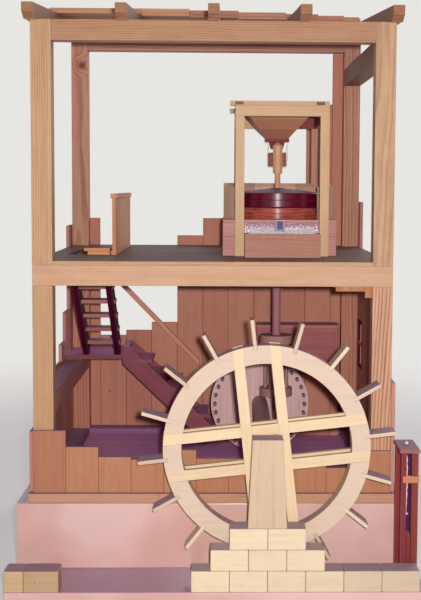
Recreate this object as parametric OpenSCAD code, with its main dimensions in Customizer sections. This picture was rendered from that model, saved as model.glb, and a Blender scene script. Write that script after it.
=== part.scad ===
// Wooden model of a water mill, cut away to show its works: a post and beam
// mill house on a board base, an undershot wheel with clasp arms, a face gear
// and lantern pinion, one pair of millstones with hopper and shoe, and a
// sluice. Lengths are in millimetres. Inside the modules X is measured from
// the middle of the house, Y from the front of its posts and Z from the top
// of the base board; on_base() moves all that to the middle of the base.

/* [Base board] */
// From the middle of the house to the left edge of the board
base_left = 193.5; // [186:0.5:230]
// From the middle of the house to the right edge of the board
base_right = 203; // [201:0.5:240]
// From the front of the posts to the front edge of the board
base_front = 79; // [79:0.5:110]
// From the front of the posts to the back edge of the board
base_back = 341; // [341:0.5:380]
// Thickness of the board
base_t = 18; // [8:0.5:30]

/* [Plinth and sill] */
// Height of the plinth under the house
plinth_h = 65.2; // [60:0.1:72]
// Plinth beyond the house on the left and right
plinth_side = 15.9; // [8:0.1:16]
// Plinth in front of the posts
plinth_front = 9; // [8.5:0.1:12]
// Plinth behind the back posts
plinth_back = 10; // [8:0.1:20]
// Height of the sill beams
sill_h = 9.4; // [6:0.1:12]
// Sill beyond the posts on the two sides
sill_side = 4.2; // [4:0.1:7]
// Sill in front of and behind the posts
sill_out = 8; // [5:0.1:8.4]
// Thickness of the lower floor boards
lower_floor_t = 3.8; // [2:0.1:6]

/* [Post and beam frame] */
// Width of the house over its posts
house_w = 355; // [352:0.5:358]
// Depth of the house over its posts
house_d = 320; // [318:0.5:323]
// Side of the square posts
post_s = 20; // [14:0.5:22]
// Length of the lower posts
lower_post_h = 205.8; // [200:0.1:215]
// Height of the floor beams
beam_h = 20.3; // [16:0.1:24]
// Length of the upper posts at the front
upper_post_h = 237.8; // [225:0.1:260]
// How much higher the back of the roof is than the front
roof_rise = 25; // [15:0.5:30]
// Height of the top beams
top_beam_h = 20; // [14:0.5:24]
// Height of the rail at the top of the right side
side_rail_h = 20; // [12:0.5:24]
// From the top of the front post down to the top of that rail
side_rail_drop = 16.2; // [5:0.1:30]
// Thickness of the upper floor boards
upper_floor_t = 3.9; // [2.5:0.1:6]

/* [Roof] */
// Number of rafters
rafter_n = 5; // [3:1:7]
// Width of a rafter
rafter_w = 11; // [8:0.5:14]
// Height of a rafter
rafter_h = 15.5; // [12:0.5:20]
// Outer rafters beyond the sides of the posts
rafter_past = 4.4; // [0:0.1:6]
// Rafter tails in front of the front posts
eave_front = 22; // [14:0.5:30]
// Rafter tails behind the back posts
eave_back = 15; // [8:0.5:20]
// Length of the curved moulding on the rafter tails
tail_curve = 11; // [6:0.5:14]
// Roof boards beyond the outer rafters
verge = 2; // [0:0.5:4]
// Part of each roof board that stays uncovered
course_pitch = 24.5; // [20:0.5:26]
// Lap of each roof board over the one below
course_lap = 6; // [4:0.5:8]
// Thickness of a roof board at its thick lower edge
course_butt = 4.6; // [3:0.1:6]
// Thickness of a roof board at its thin upper edge
course_tail = 1.6; // [1:0.1:2.2]
// Boarded part of the roof, from the first board's front edge to the back eave
roofed_depth = 190; // [175:1:210]

/* [Wall boards] */
// Thickness of the wall boards
board_t = 4; // [3:0.1:4.2]
// Number of boards across the front wall and the back wall
board_n = 11; // [11:1:11]
// Width of the broken ends left under the front beam
broken_w = 36.5; // [20:0.5:60]
// Width of the longer one of these at the right post
broken_side = 7.5; // [4:0.5:15]
// Height of the broken ends
broken_h = 4.7; // [2:0.1:8]
// Height of the longer one
broken_side_h = 11; // [8:0.1:16]

/* [Window] */
// From the far side of the window to the back of the posts
window_back = 24; // [22:1:32]
// Width of the window over its frame
window_w = 48; // [36:1:50]
// Window bottom above the sill
window_z = 82.4; // [70:0.1:90]
// Height of the window over its frame
window_h = 59; // [40:1:70]
// Width of the frame members
window_bar = 4.5; // [3:0.1:6]

/* [Stairs] */
// Height of the side girt and landing bearer above the sill
girt_z = 77.2; // [70:0.1:85]
// Height of the girt
girt_h = 20; // [12:0.5:24]
// Thickness of the landing boards
landing_t = 5.3; // [3:0.1:7]
// Depth of the landing, from its near edge to the back of the posts
landing_d = 85; // [82:1:95]
// Right edge of the landing, left of the middle of the house
landing_x = 110; // [106:0.5:120]
// Risers in the upper flight
upper_risers = 7; // [6:1:8]
// Treads in the lower flight
lower_treads = 7; // [6:1:8]
// Going of one step of the upper flight
upper_going = 20.3; // [16:0.1:20.8]
// Going of one step of the lower flight
lower_going = 16.7; // [14:0.1:17.4]
// From the landing to the nose of the highest tread of the lower flight
lower_nose = 34.9; // [30:0.1:38]
// Thickness of the stair strings
string_t = 6.6; // [4:0.1:8]
// Depth of the strings measured upright
string_depth = 28.2; // [24:0.1:31]
// How far the treads of the upper flight stand out over its strings
upper_out = 2.4; // [1:0.1:5]
// How far the treads of the lower flight stand out over its strings
lower_out = 10.8; // [6:0.1:12]
// How far the head of the lower flight stands above the landing
string_head = 10.2; // [4:0.1:12]
// Length of that head
head_l = 7.6; // [5:0.1:12]
// Thickness of a tread
tread_t = 4.2; // [3:0.1:5]
// How far a tread stands out over the one below
nosing = 4; // [1:0.1:6]
// Width of the lower flight over its strings
lower_flight_w = 60; // [50:0.5:61]
// Air between the lower flight and the line of the back posts
flight_gap = 3; // [1:0.5:6]
// Left side of the stair opening in the floor, beyond the upper flight
stair_gap = 0.4; // [0.2:0.1:1]
// Width of the upper flight over its strings
upper_flight_w = 43.6; // [38:0.1:44]
// Thickness of the handrail bar
handrail_t = 6; // [4:0.5:8]
// Top end of the handrail left of the middle of the house
handrail_top = 146; // [140:0.5:150]
// Foot of the handrail left of the middle of the house
handrail_foot = 20; // [10:0.5:40]
// Fall of the handrail for each unit to the right
handrail_fall = 1.03; // [0.95:0.01:1.1]

/* [Railing] */
// Height of the railing over the upper floor
railing_h = 65.3; // [50:0.5:80]
// Thickness of the railing boards
railing_t = 4; // [3:0.1:6]
// How far the railing reaches past the head of the stairs
railing_lead = 5.4; // [3:0.1:8]
// From the far end of the railing to the line of the back posts
railing_end = 10; // [4:0.5:20]
// Height of the curb's boards at the head of the stairs
curb_h = 3.9; // [3:0.1:6]
// Height of the railing's cap and foot rails
railing_rail = 5; // [3:0.1:7]
// How far the cap stands out on each side
railing_lip = 1.5; // [0.5:0.1:2.5]

/* [Millstones] */
// Axis of the stones right of the middle of the house
stone_x = 69.8; // [69:0.1:70.5]
// Axis of the stones behind the front of the posts
stone_y = 160; // [160:0.1:160]
// How far the box under the stones stands out beside the casing
box_side = 0.7; // [0.3:0.1:4]
// How far the casing stands out over the back of that box
casing_over = 2; // [0:0.5:2]
// Height of the box under the stones
box_h = 38.6; // [34:0.1:44]
// Air between the meal bin and the hopper frame's posts beside it
bin_gap = 0.45; // [0.2:0.05:5]
// Depth of the meal bin
bin_d = 33; // [25:0.5:40]
// Height of the meal bin
bin_h = 24.8; // [18:0.1:28]
// Thickness of the walls of the meal bin
bin_t = 4; // [2.5:0.1:6]
// Radius of both stones
stone_r = 50; // [44:0.5:52]
// Thickness of the bedstone
bed_h = 12.4; // [8:0.1:16]
// Thickness of the runner stone at its rim
runner_h = 15.4; // [10:0.1:18]
// Rise of the runner stone from rim to eye
runner_rise = 5.6; // [2:0.1:8]
// Running gap between the two stones
stone_gap = 0.4; // [0.3:0.1:1]
// Casing of upright boards, across its flats
casing_w = 120; // [114:0.5:120.4]
// Thickness of the casing boards
casing_t = 3.5; // [2.5:0.1:4.5]
// Height of the casing
casing_h = 35.6; // [30:0.1:40]
// Width of the opening cut in the front of the casing
casing_gap = 82; // [60:0.5:90]
// Height of the rim strip on the casing
casing_rim = 3.6; // [2:0.1:5]
// Radius of the damsel's neck
damsel_neck_r = 3.25; // [2.5:0.05:4]
// Length of the damsel's neck
damsel_neck_h = 16; // [10:0.5:20]
// Damsel's eight sided head, across its flats
damsel_w = 10.5; // [8:0.1:11]
// Length of the damsel's head with its point
damsel_h = 35; // [28:0.5:38]

/* [Hopper] */
// Side of the hopper frame's posts
hopper_post = 9.6; // [8:0.1:10]
// Height of the hopper frame's posts
hopper_post_h = 147.9; // [140:0.1:160]
// Width of the hopper frame over its posts
hopper_frame_w = 99.3; // [96:0.1:104]
// Height of the frame's head rails
head_rail_h = 10.7; // [8:0.1:14]
// Height of the rim strips on the head rails
rim_h = 5.1; // [3:0.1:7]
// Overhang of the front rim strip on the left
rim_out = 5.6; // [2:0.1:8]
// From the hopper's mouth to the inner faces of the frame's posts
mouth_gap = 2.05; // [1.5:0.05:6]
// Half the width of the hopper's throat
throat_half = 12.7; // [10:0.1:14]
// Height of the hopper's slopes from throat to mouth
hopper_h = 28.1; // [24:0.1:34]
// Height of the upright collar at the hopper's mouth
collar_h = 6; // [3:0.1:8]
// Thickness of the hopper's walls
hopper_t = 3; // [2:0.1:4]
// Height of the band round the throat
throat_band = 3.5; // [2:0.1:4.5]
// How far that band stands out
band_out = 0.8; // [0.3:0.1:1.5]
// Height of the band and the spout under it
spout_h = 11.5; // [8:0.1:13]
// Width of the spout at its top
spout_top = 17.8; // [16.2:0.1:18]
// Width of the spout at its lower end
spout_w = 13.4; // [11:0.1:16]
// Width of the shoe
shoe_w = 19.6; // [16:0.1:22]
// Length of the shoe, front to back
shoe_l = 26; // [22:0.5:30]
// Height of the shoe
shoe_h = 15.3; // [12:0.1:17]
// Thickness of the walls of the shoe
shoe_t = 2.4; // [1.6:0.1:3]
// Air between shoe and damsel
shoe_gap = 0.6; // [0.5:0.1:2]
// Thickness of the shoe strings
cord_d = 1.2; // [0.8:0.1:1.6]

/* [Water wheel] */
// Axis of the wheel right of the middle of the house
wheel_x = 52.2; // [51.8:0.1:52.6]
// Axis of the wheel above the base board
wheel_z = 129.9; // [129:0.1:132]
// Face of the wheel in front of the posts
wheel_front = 50; // [46:0.5:51]
// Outer radius of the rim
rim_r = 99; // [90:0.5:102]
// Width of the rim from outside to inside
rim_w = 17.5; // [12:0.5:20]
// Thickness of the rim, front to back
rim_t = 16.5; // [12:0.5:18]
// Middle of a clasp arm from the wheel's axis
arm_off = 17.8; // [16:0.1:20]
// Width of the clasp arms
arm_w = 10.2; // [8:0.1:12]
// Thickness of the clasp arms
arm_t = 6; // [4:0.1:7]
// Back arms past the rim
arm_past = 0.9; // [0.3:0.1:3]
// Lean of the arms to the left of upright
arm_lean = 6.2; // [0:0.1:10]
// Number of floats
float_n = 16; // [12:4:16]
// Lean of the first float to the left of upright
float_lean = 6.8; // [6:0.1:7.5]
// Radius at the tips of the floats
float_r = 123.9; // [116:0.1:125]
// How deep the floats are let into the rim
float_in = 4.3; // [2:0.1:6]
// Thickness of the floats
float_t = 3.6; // [2.5:0.1:4.5]
// Length of the floats, front to back
float_w = 24; // [18:0.5:26]
// Radius of the main shaft
shaft_r = 9; // [7:0.1:9.4]
// Radius of the pivots at the two ends of the shaft
pivot_r = 3; // [2:0.1:4]
// Length of the front pivot inside its post
pivot_l = 11; // [6:0.5:14]
// Running clearance round pivots
pivot_fit = 0.05; // [0.03:0.01:0.1]

/* [Face gear and lantern] */
// Radius of the face gear's disc
gear_r = 56; // [55:0.5:58]
// Thickness of the disc
gear_t = 6; // [4:0.1:8]
// From the spindle's axis back to the disc
gear_off = 20; // [19.5:0.1:21]
// Air between the disc and the post behind it
bearing_gap = 10; // [4:0.5:20]
// Number of pegs on the face gear
peg_n = 32; // [32:1:32]
// Radius of the circle of pegs
peg_circle = 51.3; // [51.2:0.05:51.4]
// Radius of a peg
peg_r = 2; // [1.6:0.05:2.1]
// How far the pegs stand out of the disc
peg_l = 9; // [7:0.1:9.5]
// Number of staves in the lantern
stave_n = 8; // [8:1:8]
// Radius of the circle of staves
stave_circle = 12.8; // [12.7:0.05:12.9]
// Radius of a stave
stave_r = 1.8; // [1.4:0.05:1.9]
// Turn of the first stave from straight back
stave_turn = 30.75; // [30.5:0.05:31]
// Radius of the lantern's discs
lantern_r = 18.3; // [16:0.1:19]
// Thickness of the lantern's discs
lantern_t = 9.1; // [6:0.1:10]
// Underside of the lower disc above the base board
lantern_z = 143.3; // [142:0.1:146]
// Height of the lantern over both discs
lantern_h = 68.7; // [60:0.1:75]
// Radius of the upright spindle
spindle_r = 4.5; // [3.5:0.1:5]
// Radius of the spindle's toe
toe_r = 2.5; // [1.5:0.1:3]
// Length of the toe
toe_l = 10; // [6:0.5:14]
// Height of the step that carries the toe, above the base board
step_z = 128; // [120:0.5:132]
// Side of the post that carries the step
step_post = 16; // [12:0.5:16]
// Wood left beside the toe, on the side of the main shaft
step_wall = 1.3; // [1:0.1:2]
// Air between the spindle's shoulder and the step
step_gap = 0.2; // [0.1:0.05:0.4]

/* [Blocks and pier] */
// Width of the two blocks at the left edge of the base board
quay_w = 51; // [40:0.5:60]
// Width of the cut block, the left one of these
quay_cut = 18.3; // [10:0.1:30]
// Width of one stone block
block_w = 35.8; // [34:0.1:36]
// Height of one course of blocks
block_h = 20.2; // [18:0.1:21]
// Depth of the blocks, front to back
block_d = 24.5; // [20:0.5:26]
// Left end of the bottom course right of the middle, negative is left
pier_x = -19; // [-30:0.5:-15]
// Bottom width of the bearing post
bearing_w0 = 36.8; // [32:0.1:42]
// Top width of the bearing post
bearing_w1 = 28.6; // [22:0.1:32]
// Height of the bearing post
bearing_h = 83.8; // [78:0.1:92]
// Depth of the bearing post
bearing_d = 24; // [20:0.5:24.5]
// Depth of the post at the back end of the main shaft
bearing_l = 16; // [10:0.5:24]

/* [Sluice] */
// Middle of the sluice gate right of the middle of the house
sluice_x = 188.6; // [187:0.1:189]
// Height of the sluice frame
sluice_h = 129.8; // [110:0.1:140]
// Width of the sluice frame, left to right
sluice_w = 18.2; // [16:0.1:20]
// Depth of the sluice posts, front to back
sluice_post = 7; // [5:0.1:9]
// Width of one sluice post on each side of the gate
sluice_stile = 6; // [4.5:0.1:6.4]
// Thickness of the cap
cap_t = 7; // [4:0.1:9]
// From the top of the cap down to the top of the cross-bars
tie_drop = 28.8; // [20:0.1:40]
// Height of the cross-bars
tie_h = 7; // [4:0.1:12]
// Thickness of the cross-bars
tie_t = 2.5; // [1.5:0.1:3]
// Thickness of the gate board
gate_t = 3.6; // [2.5:0.1:4.5]
// Height of the gate board
gate_h = 46; // [36:0.5:56]
// Rise of the gate's handle above the board
gate_stem = 15; // [8:0.5:20]
// Running clearance round the gate
gate_fit = 0.3; // [0.2:0.05:0.6]

/* [Chest] */
// Left side of the chest right of the middle of the house
chest_x = 51.5; // [45:0.5:60]
// Width of the chest
chest_w = 102.3; // [90:0.1:105]
// Height of the chest above the lower floor
chest_h = 138.6; // [120:0.1:150]
// Depth of the chest
chest_d = 35; // [25:0.5:38]
// Width of the frame round its front panel
chest_frame = 6; // [4:0.1:10]
// Set back of the panel
chest_inset = 3; // [1:0.1:5]
// Thickness of its lid
chest_lid = 3.6; // [2:0.1:5]

/* [Hidden] */
$fn = 64;

// Heights above the base board
z_sill = plinth_h + sill_h;
z_ground = plinth_h + lower_floor_t;
z_beam = z_sill + lower_post_h;
z_deck = z_beam + beam_h;
z_floor = z_deck + upper_floor_t;
z_front = z_deck + upper_post_h;
z_back = z_front + roof_rise;
z_landing = z_sill + girt_z + girt_h + landing_t;

// Sides of the house and the inner faces of its posts
half_w = house_w / 2;
in_w = half_w - post_s;
in_d = house_d - post_s;
board_pitch = house_w / board_n;
rafter_pitch = (house_w + 2 * rafter_past - rafter_w) / (rafter_n - 1);

// Places along the depth of the house that keep to its back
landing_y = house_d - landing_d;
window_y = house_d - window_back - window_w;
lower_flight_y = in_d - lower_flight_w - flight_gap;

// Slope of the roof, and the underside of the rafters at a depth y
roof_slope = roof_rise / (house_d - post_s);
function rafter_foot(y) = z_front + roof_slope * (y - post_s / 2);

// Tops of the wall boards above the sill, left to right or front to back;
// the last board at the back reaches the beam, and the edges of the boards
// at the sides are shares of the depth of the house
wall_top = z_back - top_beam_h - z_sill;
front_tops = [62.4, 46.1, 36.1, 33.6, 43.2, 34.6, 34.4, 29.6, 29.4, 25.1, 42.4];
back_tops = [263.4, 115.4, 121.9, 132.1, 242, 263.8, 268, 272, 265, 406.4, wall_top];
left_tops = [61, 84, 99.5, 118.9, 152.9, 255];
left_shares = [0, 0.28125, 0.46875, 0.634375, 0.74375, 0.85625, 1];
right_tops = [110, 122, 141, 163, 184, 206, 226.1, 285.4];
right_shares = [0, 0.1, 0.2125, 0.325, 0.4375, 0.5375, 0.6375, 0.9, 1];

// What each stepped roof board lacks at its right end, first course at the front
course_short = [265.9, 212.9, 157.9, 102.9, 63.9, 30.9, 9.9, 5.4];

// Moves a piece from the house's own axes to the middle of the base
module on_base() {
    translate([(base_left - base_right) / 2, (base_front - base_back) / 2, base_t])
        children();
}

// A box between two opposite corners
module box(a, b) {
    translate(a)
        cube([b[0] - a[0], b[1] - a[1], b[2] - a[2]]);
}

// Turns an outline drawn in X and Z upright, its back face at depth y
module facing(y, t) {
    translate([0, y, 0])
        rotate([90, 0, 0])
            linear_extrude(t)
                children();
}

// Turns an outline drawn in Y and Z upright, its left face at x
module sideways(x, t) {
    translate([x, 0, 0])
        rotate([90, 0, 90])
            linear_extrude(t)
                children();
}

// Outline of boards of unlike heights side by side, from their edges and tops
function board_outline(edges, tops) = concat(
    [[edges[0], 0]],
    [for (i = [0:len(tops) - 1]) each [[edges[i], tops[i]], [edges[i + 1], tops[i]]]],
    [[edges[len(tops)], 0]]
);

function even_edges(n, pitch) = [for (i = [0:n]) i * pitch - n * pitch / 2];

// One course of blocks with a fine groove at each joint
module course(x, n, level) {
    groove = 0.8;
    difference() {
        box([x, -base_front, level * block_h],
            [x + n * block_w, -base_front + block_d, (level + 1) * block_h]);
        for (i = [1:max(1, n - 1)])
            if (n > 1)
                translate([x + i * block_w, -base_front, level * block_h - 1])
                    rotate([0, 0, 45])
                        translate([-groove / 2, -groove / 2, 0])
                            cube([groove, groove, block_h + 2]);
    }
}

module base_board() {
    color("#e1af9b")
        on_base()
            box([-base_left, -base_front, -base_t], [base_right, base_back, 0]);
}

module plinth() {
    color("#e8b8a2")
        on_base()
            box([-half_w - plinth_side, -plinth_front, 0],
                [half_w + plinth_side, house_d + plinth_back, plinth_h]);
}

module left_quay() {
    color("#cdaa82")
        on_base()
            difference() {
                box([-base_left, -base_front, 0], [-base_left + quay_w, -base_front + block_d, block_h]);
                translate([-base_left + quay_cut, -base_front, -1])
                    rotate([0, 0, 45])
                        translate([-0.4, -0.4, 0])
                            cube([0.8, 0.8, block_h + 2]);
            }
}

module stepped_pier() {
    color("#f5e4be")
        on_base() {
            course(pier_x, 6, 0);
            course(pier_x + block_w / 2, 3, 1);
            course(pier_x + block_w, 2, 2);
        }
}

// Tapered post on the pier, with the blind hole for the wheel's front pivot
module bearing_post() {
    back = -base_front + bearing_d;
    foot = 3 * block_h;
    color("#e8cfae")
        on_base()
            difference() {
                facing(back, bearing_d)
                    polygon([
                        [wheel_x - bearing_w0 / 2, foot],
                        [wheel_x + bearing_w0 / 2, foot],
                        [wheel_x + bearing_w1 / 2, foot + bearing_h],
                        [wheel_x - bearing_w1 / 2, foot + bearing_h]
                    ]);
                translate([wheel_x, back + 1, wheel_z])
                    rotate([90, 0, 0])
                        cylinder(h = pivot_l + 1.5, r = pivot_r + pivot_fit);
            }
}

module sill_frame() {
    color("#d9a980")
        on_base()
            difference() {
                box([-half_w - sill_side, -sill_out, plinth_h],
                    [half_w + sill_side, house_d + sill_out, z_sill]);
                box([-in_w, post_s, plinth_h - 1], [in_w, in_d, z_sill + 1]);
            }
}

module lower_floor() {
    color("#8d6f86")
        on_base()
            box([-in_w, post_s, plinth_h], [in_w, in_d, z_ground]);
}

// Four square posts between two heights, the back pair with its own top
module posts(foot, front_top, back_top) {
    for (x = [-half_w, in_w]) {
        box([x, 0, foot], [x + post_s, post_s, front_top]);
        box([x, in_d, foot], [x + post_s, house_d, back_top]);
    }
}

module lower_posts() {
    color("#d7ac7d")
        on_base()
            posts(z_sill, z_beam, z_beam);
}

module upper_posts() {
    color("#d7ac7d")
        on_base()
            posts(z_deck, z_front, z_back);
}

module cross_floor_beams() {
    color("#e0b98c")
        on_base()
            for (y = [0, in_d])
                box([-half_w, y, z_beam], [half_w, y + post_s, z_deck]);
}

module side_floor_beams() {
    color("#d2a474")
        on_base()
            for (x = [-half_w, in_w])
                box([x, post_s, z_beam], [x + post_s, in_d, z_deck]);
}

module top_beams() {
    color("#e0b98c")
        on_base() {
            box([-in_w, 0, z_front - top_beam_h], [in_w, post_s, z_front]);
            box([-in_w, in_d, z_back - top_beam_h], [in_w, house_d, z_back]);
        }
}

module right_top_rail() {
    top = z_front - side_rail_drop;
    color("#d2a474")
        on_base()
            box([in_w, post_s, top - side_rail_h], [half_w, in_d, top]);
}

// Side view of a rafter: curved tail in front, seats cut over both beams
module rafter_outline() {
    front = -eave_front;
    back = house_d + eave_back;
    steps = 10;
    lip = 0.62 * rafter_h;
    foot = rafter_foot(front) + rafter_h - lip;
    low = rafter_foot(front + tail_curve) + 1.2;
    difference() {
        polygon(concat(
            [[back, rafter_foot(back)], [back, rafter_foot(back) + rafter_h]],
            [[front, rafter_foot(front) + rafter_h], [front, foot]],
            [for (i = [0:steps])
                [front + 0.6 + (tail_curve - 0.6) * i / steps,
                 foot - (foot - low) * (1 - cos(180 * i / steps)) / 2]],
            [[front + tail_curve, rafter_foot(front + tail_curve)]]
        ));
        translate([0, z_front - 5])
            square([post_s, 5]);
        translate([in_d, z_back - 5])
            square([post_s, 5]);
    }
}

module rafters() {
    color("#dcb184")
        on_base()
            for (i = [0:rafter_n - 1])
                sideways(i * rafter_pitch - half_w - rafter_past, rafter_w)
                    rafter_outline();
}

// Side view of a rebated roof board, its foot at the origin, on the slope
module course_outline(lapped, w) {
    under = lapped ? course_tail * 1.6 + 0.15 : 0;
    rise = roof_slope * w;
    lap = course_lap + 0.15;
    polygon([
        [0, under],
        [0, under + course_butt],
        [w, rise + course_tail],
        [w, rise],
        [lap, roof_slope * lap],
        [lap, roof_slope * lap + under]
    ]);
}

module roof_boards() {
    side = half_w + rafter_past + verge;
    color("#c79a70")
        on_base()
            for (i = [0:len(course_short) - 1]) {
                left_over = roofed_depth - i * course_pitch;
                y = house_d + eave_back - left_over;
                if (left_over > 2 * course_lap)
                    translate([0, y, rafter_foot(y) + rafter_h])
                        sideways(-side, 2 * side - course_short[i])
                            course_outline(i > 0, min(course_pitch + course_lap, left_over));
            }
}

// Left edge of the upper flight, beside the left floor beam
flight_x = -in_w + stair_gap;
upper_run = (upper_risers - 1) * upper_going;
head_y = landing_y - upper_run - nosing;
railing_y = head_y - railing_lead;
railing_back = in_d - railing_end;

module upper_floor() {
    color("#7d6a5c")
        on_base()
            difference() {
                union() {
                    box([-in_w, 0, z_deck], [in_w, house_d, z_floor]);
                    box([-half_w, post_s, z_deck], [half_w, in_d, z_floor]);
                }
                box([-in_w, head_y, z_deck - 1],
                    [flight_x + upper_flight_w + 2 * stair_gap, landing_y - 12, z_floor + 1]);
                translate([stone_x, stone_y, z_deck - 1])
                    cylinder(h = upper_floor_t + 2, r = spindle_r + 1);
            }
}

module left_girt() {
    color("#d2a474")
        on_base()
            box([-half_w, post_s, z_sill + girt_z], [-in_w, in_d, z_sill + girt_z + girt_h]);
}

module stair_landing() {
    color("#b9776b")
        on_base()
            difference() {
                box([-half_w, landing_y, z_landing - landing_t], [-landing_x, house_d, z_landing]);
                box([-half_w - 1, in_d, z_landing - landing_t - 1], [-in_w, house_d + 1, z_landing + 1]);
            }
}

// Side view of a string: a plank from the foot to the head of a flight, its upper edge a
// level distance behind the noses of the treads
module string_side(n, going, riser, out) {
    run = n * going;
    rise = n * riser;
    slope = riser / going;
    up = riser - out * slope;
    polygon([
        [0, 0],
        [0, up],
        [(rise - up) / slope, rise],
        [run, rise],
        [run, rise + up - string_depth],
        [(string_depth - up) / slope, 0]
    ]);
}

// Rises from the landing towards the front of the house
module upper_flight() {
    n = upper_risers;
    riser = (z_floor - z_landing) / n;
    color("#8a4238")
        on_base()
            translate([flight_x + upper_flight_w, landing_y + upper_going - nosing, z_landing])
                rotate([0, 0, 180]) {
                    for (x = [0, upper_flight_w - string_t])
                        sideways(x, string_t)
                            string_side(n, upper_going, riser, upper_out);
                    for (i = [1:n - 1])
                        box([0, (i - 1) * upper_going, i * riser - tread_t],
                            [upper_flight_w, i * upper_going + nosing, i * riser]);
                }
}

// Rises from the lower floor to the left; its lowest tread lies on the floor and its head
// stands above the landing
module lower_flight() {
    head = z_landing + string_head - z_ground;
    riser = (head - tread_t) / lower_treads;
    slope = riser / lower_going;
    end = (lower_treads - 1) * lower_going + lower_nose;
    foot = lower_out - tread_t / slope;
    color("#a45a4e")
        on_base()
            translate([end - landing_x, lower_flight_y, z_ground])
                rotate([0, 0, 90]) {
                    for (x = [0, lower_flight_w - string_t])
                        sideways(x, string_t)
                            polygon([
                                [foot, 0],
                                [end - head_l, slope * (end - head_l - lower_out) + tread_t],
                                [end - head_l, head],
                                [end, head],
                                [end, slope * (end - lower_out) + tread_t - string_depth],
                                [foot + string_depth / slope, 0]
                            ]);
                    box([0, end - head_l, head - tread_t], [lower_flight_w, end, head]);
                    for (i = [0:lower_treads - 1])
                        box([-1.2, i * lower_going, i * riser],
                            [lower_flight_w + 1.2, (i + 1) * lower_going + nosing,
                             i * riser + tread_t]);
                }
}

// Slanted bar beside the lower flight, from the back beam to the back wall
module handrail() {
    top_x = -handrail_top;
    foot_x = -handrail_foot;
    fall = handrail_fall * (foot_x - top_x);
    color("#e6b58d")
        on_base()
            facing(house_d, handrail_t)
                polygon([
                    [top_x, z_beam],
                    [top_x + handrail_t * 1.4, z_beam],
                    [foot_x, z_beam - fall + handrail_t * 1.4],
                    [foot_x, z_beam - fall]
                ]);
}

rail_x = -landing_x + 1;

// Boarded railing beside the stair opening, and the curb at its head
module stair_railing() {
    foot = z_floor + railing_rail;
    top = z_floor + railing_h;
    right = rail_x - railing_lip - 1;
    left = flight_x + upper_flight_w / 2;
    color("#a87464")
        on_base() {
            box([rail_x, railing_y, z_floor], [rail_x + railing_t, railing_back, top]);
            box([rail_x - railing_lip, railing_y - railing_lip, top - railing_rail],
                [rail_x + railing_t + railing_lip, railing_back, top]);
            box([rail_x - railing_lip, railing_y, z_floor],
                [rail_x + railing_t, railing_back, foot]);
            box([left, head_y - 6, z_floor], [right, head_y - 1, z_floor + curb_h]);
            box([left - 4, head_y - 6.5, z_floor + curb_h],
                [right, head_y - 0.5, z_floor + curb_h + 3.5]);
        }
}

// Boards of unlike heights, and the broken ends left under the front beam
module front_wall() {
    color("#c3875f")
        on_base() {
            translate([0, 0, z_sill])
                facing(0, board_t)
                    polygon(board_outline(even_edges(board_n, board_pitch), front_tops));
            facing(board_t, board_t)
                polygon([
                    [in_w - broken_w, z_beam],
                    [in_w - broken_w, z_beam - broken_h],
                    [in_w - broken_side, z_beam - broken_h],
                    [in_w - broken_side, z_beam - broken_side_h],
                    [in_w, z_beam - broken_side_h],
                    [in_w, z_beam]
                ]);
        }
}

module back_wall() {
    color("#a57364")
        on_base()
            translate([0, 0, z_sill])
                facing(house_d + board_t, board_t)
                    polygon(board_outline(even_edges(board_n, board_pitch), back_tops));
}

module left_wall() {
    color("#a57364")
        on_base()
            translate([0, 0, z_sill])
                sideways(-half_w - board_t, board_t)
                    polygon(board_outline(left_shares * house_d, left_tops));
}

// The opening that the window's frame fills
module window_hole(margin) {
    box([half_w - 1, window_y + margin, z_sill + window_z + margin],
        [half_w + board_t + 1, window_y + window_w - margin,
         z_sill + window_z + window_h - margin]);
}

module right_wall() {
    color("#a57364")
        on_base()
            difference() {
                translate([0, 0, z_sill])
                    sideways(half_w, board_t)
                        polygon(board_outline(right_shares * house_d, right_tops));
                window_hole(0);
            }
}

module window_frame() {
    mid_y = window_y + window_w / 2;
    mid_z = z_sill + window_z + window_h / 2;
    bar = window_bar / 2;
    color("#6e2c34")
        on_base() {
            difference() {
                box([half_w, window_y, z_sill + window_z],
                    [half_w + board_t, window_y + window_w, z_sill + window_z + window_h]);
                window_hole(window_bar);
            }
            box([half_w + 0.5, mid_y - bar, z_sill + window_z + 1],
                [half_w + board_t - 0.5, mid_y + bar, z_sill + window_z + window_h - 1]);
            box([half_w + 0.5, window_y + 1, mid_z - bar],
                [half_w + board_t - 0.5, window_y + window_w - 1, mid_z + bar]);
        }
}

// Framed chest against the back wall, its panel set back
module meal_chest() {
    front = house_d - chest_d;
    top = z_ground + chest_h;
    color("#9c5a4c")
        on_base()
            difference() {
                union() {
                    box([chest_x, front, z_ground], [chest_x + chest_w, in_d, top]);
                    box([chest_x, front, z_sill], [chest_x + chest_w, house_d, top]);
                }
                box([chest_x + chest_frame, front - 1, z_ground + chest_frame],
                    [chest_x + chest_w - chest_frame, front + chest_inset,
                     top - chest_lid - chest_frame]);
            }
}

box_w = casing_w + 2 * box_side;
box_d = casing_w - casing_over;
box_x = stone_x - box_w / 2;
box_y = stone_y - casing_w / 2;
z_box = z_floor + box_h;

// Places and heights of the hopper frame, which stands against the box
hopper_x = stone_x - 0.3;
frame_x = hopper_x - hopper_frame_w / 2 + 2.2;
frame_y = box_y - hopper_post;
frame_back = box_y + box_d;
z_head = z_floor + hopper_post_h;
bin_w = hopper_frame_w - 2 * (hopper_post + bin_gap);
bin_x = frame_x + hopper_post + bin_gap;
hopper_mouth = hopper_frame_w / 2 - hopper_post - mouth_gap;

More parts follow.
